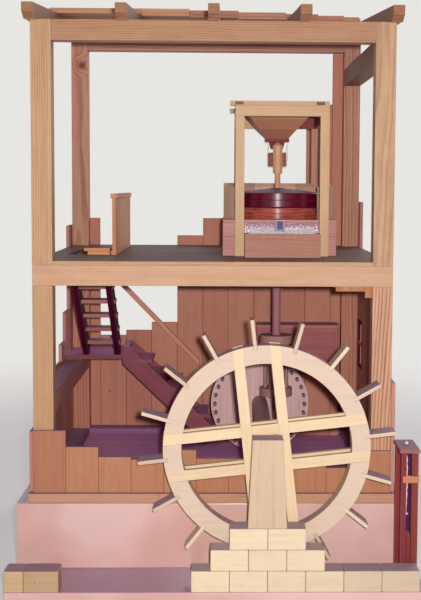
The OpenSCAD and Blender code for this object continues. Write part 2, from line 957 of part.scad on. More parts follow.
// Box that carries the stones, with the open meal bin and the spout in front
module stone_box() {
    color("#a06450")
        on_base()
            difference() {
                union() {
                    box([box_x, box_y, z_floor], [box_x + box_w, box_y + box_d, z_box]);
                    box([bin_x, box_y - bin_d, z_floor], [bin_x + bin_w, box_y, z_floor + bin_h]);
                    box([stone_x - 5, box_y - 7, z_floor + bin_h + 1],
                        [stone_x + 5, box_y, z_box - 0.5]);
                }
                box([bin_x + bin_t, box_y - bin_d + bin_t, z_floor + bin_t],
                    [bin_x + bin_w - bin_t, box_y, z_floor + bin_h + 1]);
                translate([stone_x, stone_y, z_floor - 1])
                    cylinder(h = box_h + 2, r = spindle_r + 1);
            }
}

// Eight sided casing of boards, open at the front
module stone_casing() {
    turn = 22.5;
    scale_up = 1 / cos(180 / 8);
    color("#967d6e")
        on_base()
            translate([stone_x, stone_y, z_box])
                difference() {
                    union() {
                        rotate([0, 0, turn])
                            cylinder(h = casing_h, r = casing_w / 2 * scale_up, $fn = 8);
                        rotate([0, 0, turn])
                            translate([0, 0, casing_h])
                                cylinder(h = casing_rim, r = casing_w / 2 * scale_up, $fn = 8);
                    }
                    rotate([0, 0, turn])
                        translate([0, 0, -1])
                            cylinder(h = casing_h + casing_rim + 2,
                                     r = (casing_w / 2 - casing_t) * scale_up, $fn = 8);
                    translate([-casing_gap / 2, -casing_w, -1])
                        cube([casing_gap, casing_w, casing_h + casing_rim + 2]);
                    translate([-casing_w, -casing_w, casing_h])
                        cube([2 * casing_w, casing_w, casing_rim + 1]);
                }
}

module bedstone() {
    color("#a53c28")
        on_base()
            translate([stone_x, stone_y, z_box])
                difference() {
                    cylinder(h = bed_h, r = stone_r, $fn = 96);
                    translate([0, 0, -1])
                        cylinder(h = bed_h + 2, r = spindle_r + 1);
                }
}

z_runner = z_box + bed_h + stone_gap;
z_eye = z_runner + runner_h + runner_rise;

// Runner stone, its top rising to the eye
module runner_stone() {
    color("#6e0a1e")
        on_base()
            translate([stone_x, stone_y, z_runner])
                rotate_extrude($fn = 96)
                    polygon([
                        [spindle_r, 0],
                        [stone_r, 0],
                        [stone_r, runner_h],
                        [stone_r - 1, runner_h + 0.3],
                        [spindle_r + 3, runner_h + runner_rise],
                        [spindle_r, runner_h + runner_rise]
                    ]);
}

// Upright spindle from its toe to the pointed damsel above the stones
module spindle() {
    color("#e0b184")
        on_base()
            translate([stone_x, stone_y, 0]) {
                translate([0, 0, step_z - toe_l])
                    cylinder(h = toe_l + 1, r = toe_r);
                translate([0, 0, step_z])
                    cylinder(h = z_eye - step_z, r = spindle_r);
                translate([0, 0, z_eye - 1])
                    cylinder(h = damsel_neck_h + 1.5, r = damsel_neck_r);
                translate([0, 0, z_eye + damsel_neck_h])
                    rotate([0, 0, 22.5]) {
                        cylinder(h = damsel_h - 4, r = damsel_w / 2 / cos(22.5), $fn = 8);
                        translate([0, 0, damsel_h - 4])
                            cylinder(h = 4, r1 = damsel_w / 2 / cos(22.5), r2 = 0.8, $fn = 8);
                    }
            }
}

// Two discs joined by round staves let into both
module lantern() {
    sink = 3;
    color("#c99a72")
        on_base()
            translate([stone_x, stone_y, lantern_z]) {
                for (z = [0, lantern_h - lantern_t])
                    translate([0, 0, z])
                        difference() {
                            cylinder(h = lantern_t, r = lantern_r);
                            translate([0, 0, -1])
                                cylinder(h = lantern_t + 2, r = spindle_r);
                        }
                for (i = [0:stave_n - 1])
                    rotate([0, 0, -stave_turn - i * 360 / stave_n])
                        translate([0, stave_circle, lantern_t - sink])
                            cylinder(h = lantern_h - 2 * lantern_t + 2 * sink, r = stave_r, $fn = 24);
            }
}

// Four posts round the box, joined by rails that carry the hopper
module hopper_frame() {
    far_x = frame_x + hopper_frame_w - hopper_post;
    top = z_head + head_rail_h;
    side_t = hopper_post - 2.8;
    color("#cda56e")
        on_base() {
            for (x = [frame_x, far_x])
                for (y = [frame_y, frame_back])
                    box([x, y, z_floor], [x + hopper_post, y + hopper_post, z_head]);
            box([frame_x, frame_y, z_head], [far_x + hopper_post, frame_y + hopper_post, top]);
            box([frame_x, frame_back, z_head - 7],
                [far_x + hopper_post, frame_back + hopper_post, top]);
            for (x = [frame_x, far_x + hopper_post - side_t]) {
                box([x, frame_y, z_head + 2], [x + side_t, frame_back + hopper_post, top + rim_h]);
                box([x, frame_y + hopper_post, z_head - 7], [x + side_t, frame_back, z_head + 3]);
            }
            for (y = [frame_y, frame_back])
                box([frame_x - rim_out, y, top],
                    [far_x + hopper_post, y + hopper_post, top + rim_h]);
        }
}

throat_y = stone_y + damsel_w / 2 / cos(22.5) + shoe_gap + shoe_l / 2;
z_throat = z_head + head_rail_h + rim_h - 2 - collar_h - hopper_h;

// Four sided funnel; both faces of its walls are ruled from mouth to throat
module funnel(mouth_x, mouth_y0, mouth_y1, half, cy, h) {
    polyhedron(
        points = [
            [-half, cy - half, 0], [half, cy - half, 0], [half, cy + half, 0], [-half, cy + half, 0],
            [-mouth_x, mouth_y0, h], [mouth_x, mouth_y0, h], [mouth_x, mouth_y1, h], [-mouth_x, mouth_y1, h]
        ],
        faces = [
            [0, 1, 2, 3], [7, 6, 5, 4], [0, 4, 5, 1], [1, 5, 6, 2], [2, 6, 7, 3], [3, 7, 4, 0]
        ]
    );
}

module hopper() {
    hole = spout_w / 2 - 2.2;
    band = throat_half + band_out;
    y0 = frame_y + hopper_post;
    y1 = frame_back;
    in_x = hopper_mouth - hopper_t;
    color("#9b5f4b")
        on_base()
            translate([hopper_x, 0, z_throat])
                difference() {
                    union() {
                        funnel(hopper_mouth, y0, y1, throat_half, throat_y, hopper_h);
                        box([-hopper_mouth, y0, hopper_h], [hopper_mouth, y1, hopper_h + collar_h]);
                        box([-band, throat_y - band, -throat_band], [band, throat_y + band, 0]);
                        translate([0, 0, -spout_h])
                            funnel(spout_top / 2, throat_y - spout_top / 2, throat_y + spout_top / 2,
                                   spout_w / 2, throat_y, spout_h - throat_band);
                    }
                    translate([0, 0, hopper_t])
                        funnel(in_x, y0 + hopper_t, y1 - hopper_t, hole, throat_y, hopper_h - hopper_t);
                    box([-in_x, y0 + hopper_t, hopper_h],
                        [in_x, y1 - hopper_t, hopper_h + collar_h + 1]);
                    box([-hole, throat_y - hole, -spout_h - 1], [hole, throat_y + hole, hopper_t]);
                }
}

// Open tray hung under the spout by two strings
module shoe() {
    y0 = throat_y - shoe_l / 2;
    top = z_throat - spout_h - 4.2;
    color("#c06a3c")
        on_base()
            translate([hopper_x + 0.5, 0, 0]) {
                difference() {
                    box([-shoe_w / 2, y0, top - shoe_h], [shoe_w / 2, y0 + shoe_l, top]);
                    box([-shoe_w / 2 + shoe_t, y0 + shoe_t, top - shoe_h + shoe_t],
                        [shoe_w / 2 - shoe_t, y0 + shoe_l - shoe_t, top + 1]);
                }
                for (side = [-1, 1])
                    translate([side * (shoe_w / 2 + cord_d / 2), throat_y, top - shoe_h])
                        cylinder(h = z_throat - throat_band - top + shoe_h, d = cord_d, $fn = 16);
            }
}

gear_back = stone_y + gear_off + gear_t;
bearing_y = gear_back + bearing_gap;

// Post that carries the back pivot of the main shaft
module shaft_bearing() {
    difference() {
        box([wheel_x - bearing_w1 / 2, bearing_y, z_ground],
            [wheel_x + bearing_w1 / 2, bearing_y + bearing_l, wheel_z + bearing_w1 / 2]);
        translate([wheel_x, bearing_y - 1, wheel_z])
            rotate([-90, 0, 0])
                cylinder(h = bearing_l + 2, r = pivot_r + pivot_fit);
    }
}

// Post with the step for the spindle's toe
module step_bearing() {
    left = stone_x - toe_r - step_wall;
    difference() {
        box([left, stone_y - step_post / 2, z_ground],
            [left + step_post, stone_y + step_post / 2, step_z - step_gap]);
        translate([stone_x, stone_y, step_z - toe_l - step_gap])
            cylinder(h = toe_l + 2, r = toe_r + pivot_fit);
    }
}

module inner_bearings() {
    color("#b98a60")
        on_base() {
            shaft_bearing();
            step_bearing();
        }
}

// Outline of the four arms that clasp the square of the shaft
module clasp_arms(r) {
    rotate([0, 0, arm_lean])
        for (turn = [0, 90])
            rotate([0, 0, turn])
                for (side = [-1, 1])
                    translate([side * arm_off - arm_w / 2, -r])
                        square([arm_w, 2 * r]);
}

module at_wheel(y, t) {
    translate([wheel_x, y, wheel_z])
        rotate([90, 0, 0])
            linear_extrude(t)
                children();
}

module float_outlines(grow) {
    for (i = [0:float_n - 1])
        rotate([0, 0, float_lean + i * 360 / float_n])
            translate([-float_t / 2 - grow, rim_r - float_in])
                square([float_t + 2 * grow, float_r - rim_r + float_in]);
}

// Ring with slots for the floats, its face let out for the front arms
module wheel_rim() {
    back = -wheel_front + rim_t;
    color("#e1cdb4")
        on_base()
            difference() {
                at_wheel(back, rim_t)
                    difference() {
                        circle(r = rim_r, $fn = 128);
                        circle(r = rim_r - rim_w, $fn = 128);
                    }
                at_wheel(back + 1, rim_t + 2)
                    float_outlines(0.1);
                at_wheel(-wheel_front + arm_t, arm_t + 1)
                    clasp_arms(rim_r + 5);
            }
}

module wheel_floats() {
    color("#ead6b4")
        on_base()
            at_wheel(-wheel_front + float_w, float_w)
                float_outlines(0);
}

// Front arms flush in the rim's face, back arms on its back
module wheel_arms() {
    color("#f5dcaa")
        on_base() {
            at_wheel(-wheel_front + arm_t, arm_t)
                intersection() {
                    clasp_arms(rim_r + 5);
                    circle(r = rim_r, $fn = 128);
                }
            at_wheel(-wheel_front + rim_t + arm_t, arm_t)
                intersection() {
                    clasp_arms(rim_r + 5);
                    circle(r = rim_r + arm_past, $fn = 128);
                }
        }
}

// Shaft with a pivot at each end and a square where the arms clasp it
module main_shaft() {
    square_w = 2 * arm_off - arm_w;
    square_back = -wheel_front + rim_t + arm_t;
    color("#d9b48a")
        on_base() {
            at_wheel(-wheel_front, pivot_l + 5)
                circle(r = pivot_r);
            at_wheel(square_back, square_back + wheel_front)
                rotate([0, 0, arm_lean])
                    translate([-square_w / 2, -square_w / 2])
                        square(square_w);
            at_wheel(gear_back + 4, gear_back + 4 - square_back)
                circle(r = shaft_r);
            at_wheel(bearing_y + bearing_l, bearing_y + bearing_l - gear_back - 4)
                circle(r = pivot_r);
        }
}

module face_gear() {
    color("#c9a9a0")
        on_base()
            at_wheel(gear_back, gear_t)
                difference() {
                    circle(r = gear_r, $fn = 96);
                    circle(r = shaft_r);
                    for (i = [0:peg_n - 1])
                        rotate([0, 0, i * 360 / peg_n])
                            translate([0, peg_circle])
                                circle(r = peg_r, $fn = 24);
                }
}

module gear_pegs() {
    color("#8c7a70")
        on_base()
            at_wheel(gear_back, gear_t + peg_l)
                for (i = [0:peg_n - 1])
                    rotate([0, 0, i * 360 / peg_n])
                        translate([0, peg_circle])
                            circle(r = peg_r, $fn = 24);
}

sluice_front = -base_front + block_d;
sluice_back = -plinth_front;
slot_w = gate_t + 2 * gate_fit;
tie_z = sluice_h - tie_drop - tie_h;

// Two pairs of posts with the gate's slot between them, a cap and two ties
module sluice_frame() {
    color("#a04632")
        on_base()
            difference() {
                union() {
                    for (y = [sluice_front, sluice_back - sluice_post])
                        for (x = [sluice_x - slot_w / 2 - sluice_stile, sluice_x + slot_w / 2])
                            box([x, y, 0], [x + sluice_stile, y + sluice_post, sluice_h - cap_t]);
                    box([sluice_x - sluice_w / 2 - 0.5, sluice_front, sluice_h - cap_t],
                        [sluice_x + sluice_w / 2 + 0.5, sluice_back, sluice_h]);
                    for (y = [sluice_front, sluice_back - tie_t])
                        box([sluice_x - sluice_w / 2 + 2, y, tie_z],
                            [sluice_x + sluice_w / 2, y + tie_t, tie_z + tie_h]);
                }
                translate([sluice_x, (sluice_front + sluice_back) / 2, sluice_h - cap_t - 1])
                    cylinder(h = cap_t + 2, r = 1.6, $fn = 24);
            }
}

// Gate board in its slots, with a stem and the cord it is lifted by
module sluice_gate() {
    mid = (sluice_front + sluice_back) / 2;
    near = sluice_front + tie_t + gate_fit;
    far = sluice_back - tie_t - gate_fit;
    color("#8c3c34")
        on_base() {
            box([sluice_x - gate_t / 2, near, 0.3], [sluice_x + gate_t / 2, far, gate_h]);
            box([sluice_x - gate_t / 2, mid - 4, gate_h - 1],
                [sluice_x + gate_t / 2, mid + 4, gate_h + gate_stem]);
            translate([sluice_x, mid, gate_h + gate_stem - 1])
                cylinder(h = sluice_h - gate_h - gate_stem + 4, d = cord_d, $fn = 16);
            translate([sluice_x, mid, sluice_h + 2.8])
                sphere(r = 2.4, $fn = 24);
        }
}

base_board();
plinth();
left_quay();
stepped_pier();
bearing_post();
sill_frame();
lower_floor();
lower_posts();
cross_floor_beams();
side_floor_beams();
upper_posts();
top_beams();
right_top_rail();
rafters();
roof_boards();
upper_floor();
left_girt();
stair_landing();
upper_flight();
lower_flight();
handrail();
stair_railing();
front_wall();
back_wall();
left_wall();
right_wall();
window_frame();
meal_chest();
stone_box();
stone_casing();
bedstone();
hopper_frame();
hopper();
shoe();
inner_bearings();
sluice_frame();
sluice_gate();
wheel_rim();
wheel_arms();
wheel_floats();
main_shaft();
face_gear();
gear_pegs();
spindle();
lantern();
runner_stone();
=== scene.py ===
"""Looks of the wooden model of a water mill, laid over its CAD frame.

Shapes are worked out in millimetres in the house's own axes: X from the middle of the house,
Y from the front of its posts, Z from the top of the base board. ORIGIN moves them to the frame.
"""

import math

import bpy
import numpy as np
from bpy.props import FloatProperty, FloatVectorProperty, PointerProperty
from bpy.types import Operator, Panel, PropertyGroup
from mathutils import Matrix, Vector


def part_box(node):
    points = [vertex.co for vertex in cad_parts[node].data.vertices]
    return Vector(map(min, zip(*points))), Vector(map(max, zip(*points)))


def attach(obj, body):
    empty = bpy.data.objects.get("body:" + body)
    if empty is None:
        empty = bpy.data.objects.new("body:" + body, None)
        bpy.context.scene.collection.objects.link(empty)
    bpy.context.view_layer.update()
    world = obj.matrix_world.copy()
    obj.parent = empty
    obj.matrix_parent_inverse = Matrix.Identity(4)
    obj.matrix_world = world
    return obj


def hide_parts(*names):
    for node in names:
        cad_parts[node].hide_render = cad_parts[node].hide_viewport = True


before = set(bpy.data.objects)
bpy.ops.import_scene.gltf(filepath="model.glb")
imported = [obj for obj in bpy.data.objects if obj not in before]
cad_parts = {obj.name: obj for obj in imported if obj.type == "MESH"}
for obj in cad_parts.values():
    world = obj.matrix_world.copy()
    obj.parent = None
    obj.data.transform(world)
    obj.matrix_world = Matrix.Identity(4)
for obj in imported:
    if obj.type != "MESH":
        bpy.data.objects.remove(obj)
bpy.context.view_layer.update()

bl_info = {
    "name": "Water Mill Model", "version": (1, 0, 0), "blender": (4, 5, 0),
    "location": "View3D > Sidebar > Water Mill",
    "description": "Timber, boards, wheel, stones and finishes of a cutaway water mill model",
    "category": "Object"
}

ORIGIN = np.array([-4.75, -131.0, 18.0])
X, Y, Z = np.eye(3)
AXES = {"x": (X, Y), "y": (Y, X), "z": (Z, X)}


def place(node):
    """Lowest and highest corners of a CAD node, in millimetres in the house's axes."""
    low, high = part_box(node)
    return np.array(low) * 1000 - ORIGIN, np.array(high) * 1000 - ORIGIN


# Main lines of the house, read from the frame
POST_LOW, POST_HIGH = place("lower_posts")
HALF_W = POST_HIGH[0]
DEPTH = POST_HIGH[1]
POST = 20.0
IN_W = HALF_W - POST
IN_D = DEPTH - POST
Z_PLINTH = place("plinth")[1][2]
Z_SILL = POST_LOW[2]
Z_BEAM = POST_HIGH[2]
Z_GROUND = place("lower_floor")[1][2]
Z_DECK, Z_FLOOR = place("upper_floor")[0][2], place("upper_floor")[1][2]
Z_LANDING = place("stair_landing")[1][2]
Z_FRONT = place("top_beams")[1][2] - 25.0
Z_BACK = place("top_beams")[1][2]
BOARD_N = 11
BOARD_W = 2 * HALF_W / BOARD_N
BOARD_T = 4.0
STONE = np.array([69.8, 160.0, 0.0])
WHEEL = np.array([52.2, 0.0, 129.9])
ROOF_SLOPE = 25.0 / 300.0
RAFTER_H, RAFTER_W, RAFTER_STEP = 15.5, 11.0, 88.2
# where the lowest course of roof boards starts, and how far apart the courses lie
ROOF_START, ROOF_COURSE = 145.0, 24.5
# left side of the upper flight's right string
FLIGHT_X = -113.5
# width over two opposite sides of the casing, and thickness of its boards
CASING_W, CASING_T = 120.0, 3.5
# left and right side of the meal bin
BIN_X0, BIN_X1 = 32.1, 111.3
# the photograph's width and height, its middle ray and its focal length, all in pixels
PHOTO_W, PHOTO_H = 421, 600
MIDDLE_U, MIDDLE_V, FOCAL = 249.6, 276.8, 1150.2


def linear(*srgb):
    """Linear colour of three sRGB numbers from 0 to 255."""
    part = np.array(srgb, float) / 255
    return tuple(np.where(part <= 0.04045, part / 12.92, ((part + 0.055) / 1.055) ** 2.4))


def colour(name, description, *srgb):
    """A colour property whose default is given in sRGB."""
    return FloatVectorProperty(
        name=name, description=description, subtype="COLOR", size=3, min=0, max=1, default=linear(*srgb)
    )


def millimetres(name, description, default):
    """A length property, given in millimetres and kept in metres."""
    return FloatProperty(
        name=name, description=description, unit="LENGTH", min=0, precision=5, default=default / 1000
    )


class TimberSizes(PropertyGroup):
    """Sizes of edges and joints that the CAD frame leaves out."""

    post_ease: millimetres("Post edges", "Radius of the eased edges of posts and beams", 0.7)
    board_ease: millimetres("Board edges", "Radius of the eased edges of boards", 0.4)
    joint: millimetres("Board joint", "Open width of the joint between two boards", 0.04)
    block_joint: millimetres("Block joint", "Open width of the joint between two blocks", 0.3)


class MillSizes(PropertyGroup):
    """Sizes of the small pieces in the drive and round the stones."""

    string: millimetres("String", "Thickness of the white strings", 1.2)
    bow: millimetres("String bow", "How far the shoe strings stand out at the hopper's band", 2.8)
    meal: millimetres("Meal", "Height of the heap of meal over the rim of its bin", 5.2)
    peg_ease: millimetres("Peg heads", "Radius of the rounded heads of the gear's pegs", 0.8)


class FinishColours(PropertyGroup):
    """Colours of the woods, the paint and the meal."""

    paint: colour("Base paint", "Glossy paint of base board and plinth", 226, 180, 166)
    pine: colour("Frame pine", "Lower left post, side beams and bearings", 196, 157, 119)
    pine_late: colour("Frame pine rings", "Dark rings of the frame's pine", 170, 114, 74)
    # on the hopper's rear posts this darker pine is painted shade, set against the hopper frame's yellow
    # pine
    rear: colour("Rear pine", "Pinker pine at the rear and of the hopper's rear posts", 206, 155, 124)
    rear_late: colour("Rear pine rings", "Dark rings of the rear pine", 164, 104, 84)
    upper: colour("Upper pine", "Pine of the upper left post", 201, 163, 122)
    upper_late: colour("Upper pine rings", "Dark rings of the upper pine", 158, 98, 70)
    flame: colour("Flamed pine", "Pinkish tan pine of the upper right post", 204, 166, 128)
    flame_late: colour("Flamed pine rings", "Dark rings of the upper right post", 138, 84, 60)
    wavy: colour("Wavy pine", "Pinkish tan pine of the lower right post", 214, 164, 134)
    wavy_late: colour("Wavy pine rings", "Strong brown lines of the lower right post", 158, 106, 80)
    calm: colour("Floor beams", "Calm pine of the front and rear floor beams", 206, 164, 131)
    torn_late: colour("Torn ends", "Reddish splinters of the torn board ends", 150, 62, 44)
    knot: colour("Knots", "Reddish hearts of the knots", 140, 48, 42)
    lintel: colour("Top beam", "Pine of the front's top beam", 188, 144, 110)
    lintel_late: colour("Top beam rings", "Dark rings of the top beam", 148, 96, 68)
    rafter: colour("Rafters", "Browner pine of the rafters", 168, 120, 88)
    rafter_late: colour("Rafter rings", "Dark rings of the rafters", 124, 80, 58)
    # painted shade: the rail's dark brown is the rear pine darkened for the shade it stands in
    top_rail: colour("Right top rail", "Dark brown rail under the roof", 128, 80, 56)
    # painted shade: a mauve cast laid over the reddish tan wood of the side boards and girt
    side: colour("Side boards", "Reddish tan boards of the side walls and girt", 200, 140, 128)
    # painted shade: thin mauve skins stand for the shade on the sill's inner sides
    skins: colour("Sill's inside", "Mauve inner sides of the sill beams", 150, 100, 140)
    sill: colour("Sill", "Sill beams", 204, 155, 123)
    front: colour("Front boards", "Boards of the front wall", 190, 133, 99)
    wall: colour("Wall boards", "Boards of the back wall and under the chest", 204, 138, 115)
    roof: colour("Roof boards", "Stepped roof boards", 200, 146, 114)
    # painted shade: the lower floor's mauve stands for the dim light on a floor seen edge on
    ground: colour("Lower floor", "Mauve stained floor", 216, 150, 212)
    # the upper floor's grey brown is its wood darkened further with painted shade
    deck: colour("Upper floor", "Grey brown floor", 116, 92, 78)
    strings: colour("Stair strings", "Dark red wood of the upper flight and the window's frame", 84, 12, 46)
    rosy: colour("Rosy boards", "Treads of the upper flight", 176, 112, 104)
    landing: colour("Landing", "Dark reddish boards of the landing", 146, 84, 88)
    handrail: colour("Handrail", "Pinkish tan of the slanted bar", 218, 152, 126)
    flight: colour("Lower flight", "Reddish wood of the lower flight", 152, 84, 94)
    sash: colour("Window", "Orange wood of the window bars", 196, 120, 84)
    chute: colour("Chute", "Lavender grey chute over the meal bin", 156, 148, 178)
    railing: colour("Railing", "Boards of the railing", 222, 154, 108)
    block: colour("Pier blocks", "Cream blocks of the pier", 233, 214, 177)
    quay: colour("Quay blocks", "Tan blocks at the left edge", 204, 172, 130)
    bearing: colour("Bearing post", "Pale wood of the post under the wheel's front pivot", 212, 187, 154)
    rim: colour("Wheel rim", "Pale plywood of the rim and its floats", 224, 200, 174)
    arms: colour("Wheel arms", "Pale yellow wood of the arms", 238, 211, 170)
    disc: colour("Gear disc", "Pinkish grey wood of the face gear", 228, 186, 181)
    pegs: colour("Gear pegs", "Dark heads of the gear's pegs", 108, 84, 80)
    shaft: colour("Shaft", "Shaft and the spindle's top", 214, 165, 124)
    lantern: colour("Lantern", "Greyish tan of the lantern", 178, 130, 122)
    spindle: colour("Spindle", "Greyish part of the spindle", 175, 116, 122)
    box: colour("Stone box", "Box under the stones and meal bin", 198, 142, 132)
    casing: colour("Casing", "Greenish brown boards round the stones", 184, 150, 126)
    bed: colour("Bedstone", "Varnished orange mahogany", 182, 90, 70)
    bed_late: colour("Bedstone rings", "Dark rings of the bedstone", 112, 30, 26)
    inner: colour("Inner casing", "Pinkish boards at the casing's rear", 224, 178, 158)
    strip: colour("Casing rim", "Strip along the casing's top", 198, 150, 118)
    bin: colour("Meal bin", "Boards of the meal bin", 190, 136, 114)
    # painted shade: dark purple given to the sluice's rear stile, rear cross piece and gate stem for the
    # shade inside the sluice
    recess: colour("Sluice recess", "Dark purple wood inside the sluice", 84, 26, 76)
    # painted shade: the dark grey blue plate behind the chute stands for the shade inside it
    chute_dark: colour("Chute's back", "Grey blue back of the chute", 96, 90, 124)
    cap: colour("Sluice cap", "Mauve tan cap of the sluice", 164, 104, 98)
    crossbar: colour("Cross-bar", "Orange tan cross-bar of the sluice", 204, 134, 92)
    runner: colour("Runner", "Varnished dark mahogany", 96, 8, 34)
    hopper_frame: colour("Hopper frame", "Yellowish pine", 216, 180, 136)
    hopper_end: colour("End grain", "Ends of the hopper frame's side rails", 140, 104, 70)
    band: colour("Hopper band", "Dark red band at the hopper's throat", 132, 64, 62)
    hopper: colour("Hopper", "Reddish brown boards", 210, 146, 114)
    shoe: colour("Shoe", "Orange wood of the shoe", 160, 90, 66)
    chest: colour("Chest", "Reddish framed chest", 186, 114, 112)
    mahogany: colour("Mahogany", "Left stiles of the sluice and its gate", 142, 54, 58)
    orange: colour("Orange stile", "Front right stile of the sluice", 138, 64, 50)
    meal: colour("Meal", "White meal in its bin", 253, 252, 250)
    string: colour("String", "White cotton string", 255, 252, 248)
    # painted shade: the mauve grey laid on faces that look up, for the dim light they get
    film: colour("Film of dust", "Mauve grey dust on faces that look up", 150, 122, 158)


class StageSettings(PropertyGroup):
    """Floor, lamps and camera."""

    floor: colour("Floor", "Plain pale floor", 232, 230, 226)
    key: FloatProperty(
        name="Key lamp", description="Power of the lamp beside the camera", unit="POWER", default=10.5
    )
    tint: colour("Even light", "Colour of the even light", 218, 182, 255)
    rear_lamp: FloatProperty(
        name="Rear lamp", description="Power of the lamp behind the mill", unit="POWER", default=22
    )
    sky: FloatProperty(name="Surroundings", description="Strength of the even light", default=0.17, min=0)


def preset(name):
    """A length of the panel, in millimetres."""
    scene = bpy.context.scene
    group = scene.mill_timber if hasattr(scene.mill_timber, name) else scene.mill_sizes
    return getattr(group, name) * 1000


# ---- shapes


class Shape:
    """Points and faces of one solid, or many, with what its finish reads.

    grain holds millimetres along, across and through the piece of wood, tone one number a piece
    and wear is 1 on eased edges.
    """

    def __init__(self, points, quads, caps, grain, tone, wear, smooth=False):
        self.points = points.reshape(-1, 3)
        self.quads = quads.reshape(-1, 4)
        self.caps = caps
        self.grain = grain.reshape(-1, 3)
        self.tone = np.broadcast_to(tone, self.points.shape[:1]).astype(float)
        self.wear = np.broadcast_to(wear, self.points.shape[:1]).astype(float)
        self.smooth = smooth

    def moved(self, turn, shift):
        """The same shape, turned by a matrix and then shifted."""
        self.points = self.points @ turn.T + shift
        return self

    def endwise(self):
        """The same shape with its grain running from face to face."""
        self.grain = self.grain[:, [2, 0, 1]]
        return self


def tube_faces(pieces, rings, around, closed=False):
    """Quads between neighbouring rings of points, each ring closed on itself."""
    row = np.arange(rings if closed else rings - 1)[:, None]
    col = np.arange(around)[None, :]
    nxt, wrap = (row + 1) % rings, (col + 1) % around
    quad = np.stack([row * around + col, row * around + wrap, nxt * around + wrap, nxt * around + col], -1)
    return (np.arange(pieces)[:, None, None, None] * rings * around + quad).reshape(-1, 4)


def end_caps(pieces, rings, around):
    """One flat face at each end of every piece."""
    start = np.arange(pieces)[:, None] * rings * around
    first = start + np.arange(around)[::-1]
    last = start + (rings - 1) * around + np.arange(around)
    return first.tolist() + last.tolist()


def ease_steps():
    """Shrink, travel and wear of the six rings that round both ends of a piece.

    A ring at angle t of the quarter circle shrinks by 1 - cos t and stands sin t further out.
    """
    t = np.radians([90, 45, 0, 0, 45, 90])
    side = np.array([-1, -1, -1, 1, 1, 1])
    return 1 - np.cos(t), np.sin(t) * side, side, np.sin(2 * t)


def pairs(edges):
    """Each edge with the next one."""
    return zip(edges[:-1], edges[1:])


def boxes(rows, ease, seed=0, tones=None, piths=None):
    """Straight timber with eased edges; a row is (lowest corner, highest corner, axis of the grain).

    A point is the centre plus s along the piece, x across it and y through it. (x, y) runs round
    a rectangle whose corners are quarter circles, and s takes six steps; towards both ends the
    rectangle shrinks along a quarter circle. piths gives for each piece the direction and the
    distance of the middle of its tree, how far the grain slants for each millimetre along, and
    how close its rings stand.
    """
    low, high = (np.array([row[k] for row in rows], float) for k in (0, 1))
    along, across = (np.array([AXES[row[2]][k] for row in rows]) for k in (0, 1))
    through = np.cross(along, across)
    centre, size = (low + high) / 2, (high - low) / 2
    half = np.stack([abs((size * axis).sum(1)) for axis in (along, across, through)], -1)
    n = len(rows)
    rng = np.random.default_rng(seed)
    ease = np.minimum(ease, half.min(1) * 0.45)[:, None, None]
    shrink, travel, side, end_wear = ease_steps()
    corner = np.repeat([0, 1, 2, 3], 4)
    angle = np.radians(np.tile([0, 30, 60, 90], 4) + corner * 90)
    sign_x = np.array([1, -1, -1, 1])[corner]
    sign_y = np.array([1, 1, -1, -1])[corner]
    flat = (1 + shrink)[None, :, None] * ease
    x = sign_x * (half[:, 1, None, None] - flat) + ease * np.cos(angle)
    y = sign_y * (half[:, 2, None, None] - flat) + ease * np.sin(angle)
    s = side[None, :, None] * (half[:, 0, None, None] - ease) + travel[None, :, None] * ease
    s = np.broadcast_to(s, x.shape)
    local = np.stack([s, x, y], -1)
    points = centre[:, None, None] + local @ np.stack([along, across, through], 1)[:, None]
    turn = math.pi / 4 + rng.integers(0, 4, n) * math.pi / 2 + rng.uniform(-0.2, 0.2, n)
    pith, slant = rng.uniform(120, 220, n), rng.uniform(-0.005, 0.005, n)
    close = np.ones(n)
    if piths is not None:
        turn, pith, slant, close = np.array(piths, float).T
    local[..., 1] += slant[:, None, None] * s
    local[..., 1:] *= close[:, None, None, None]
    offset = np.stack([rng.uniform(-900, 900, n), pith * np.cos(turn), pith * np.sin(turn)], -1)
    tone = rng.uniform(0, 1, n) if tones is None else np.broadcast_to(tones, (n,))
    wear = np.maximum(end_wear[:, None], np.sin(2 * angle)[None, :] * np.sign(np.sin(2 * angle))[None, :])
    wear = np.broadcast_to(np.abs(wear), (n, 6, 16))
    return Shape(
        points, tube_faces(n, 6, 16), end_caps(n, 6, 16), local + offset[:, None, None, :],
        np.repeat(tone, 6 * 16), wear.reshape(-1)
    )


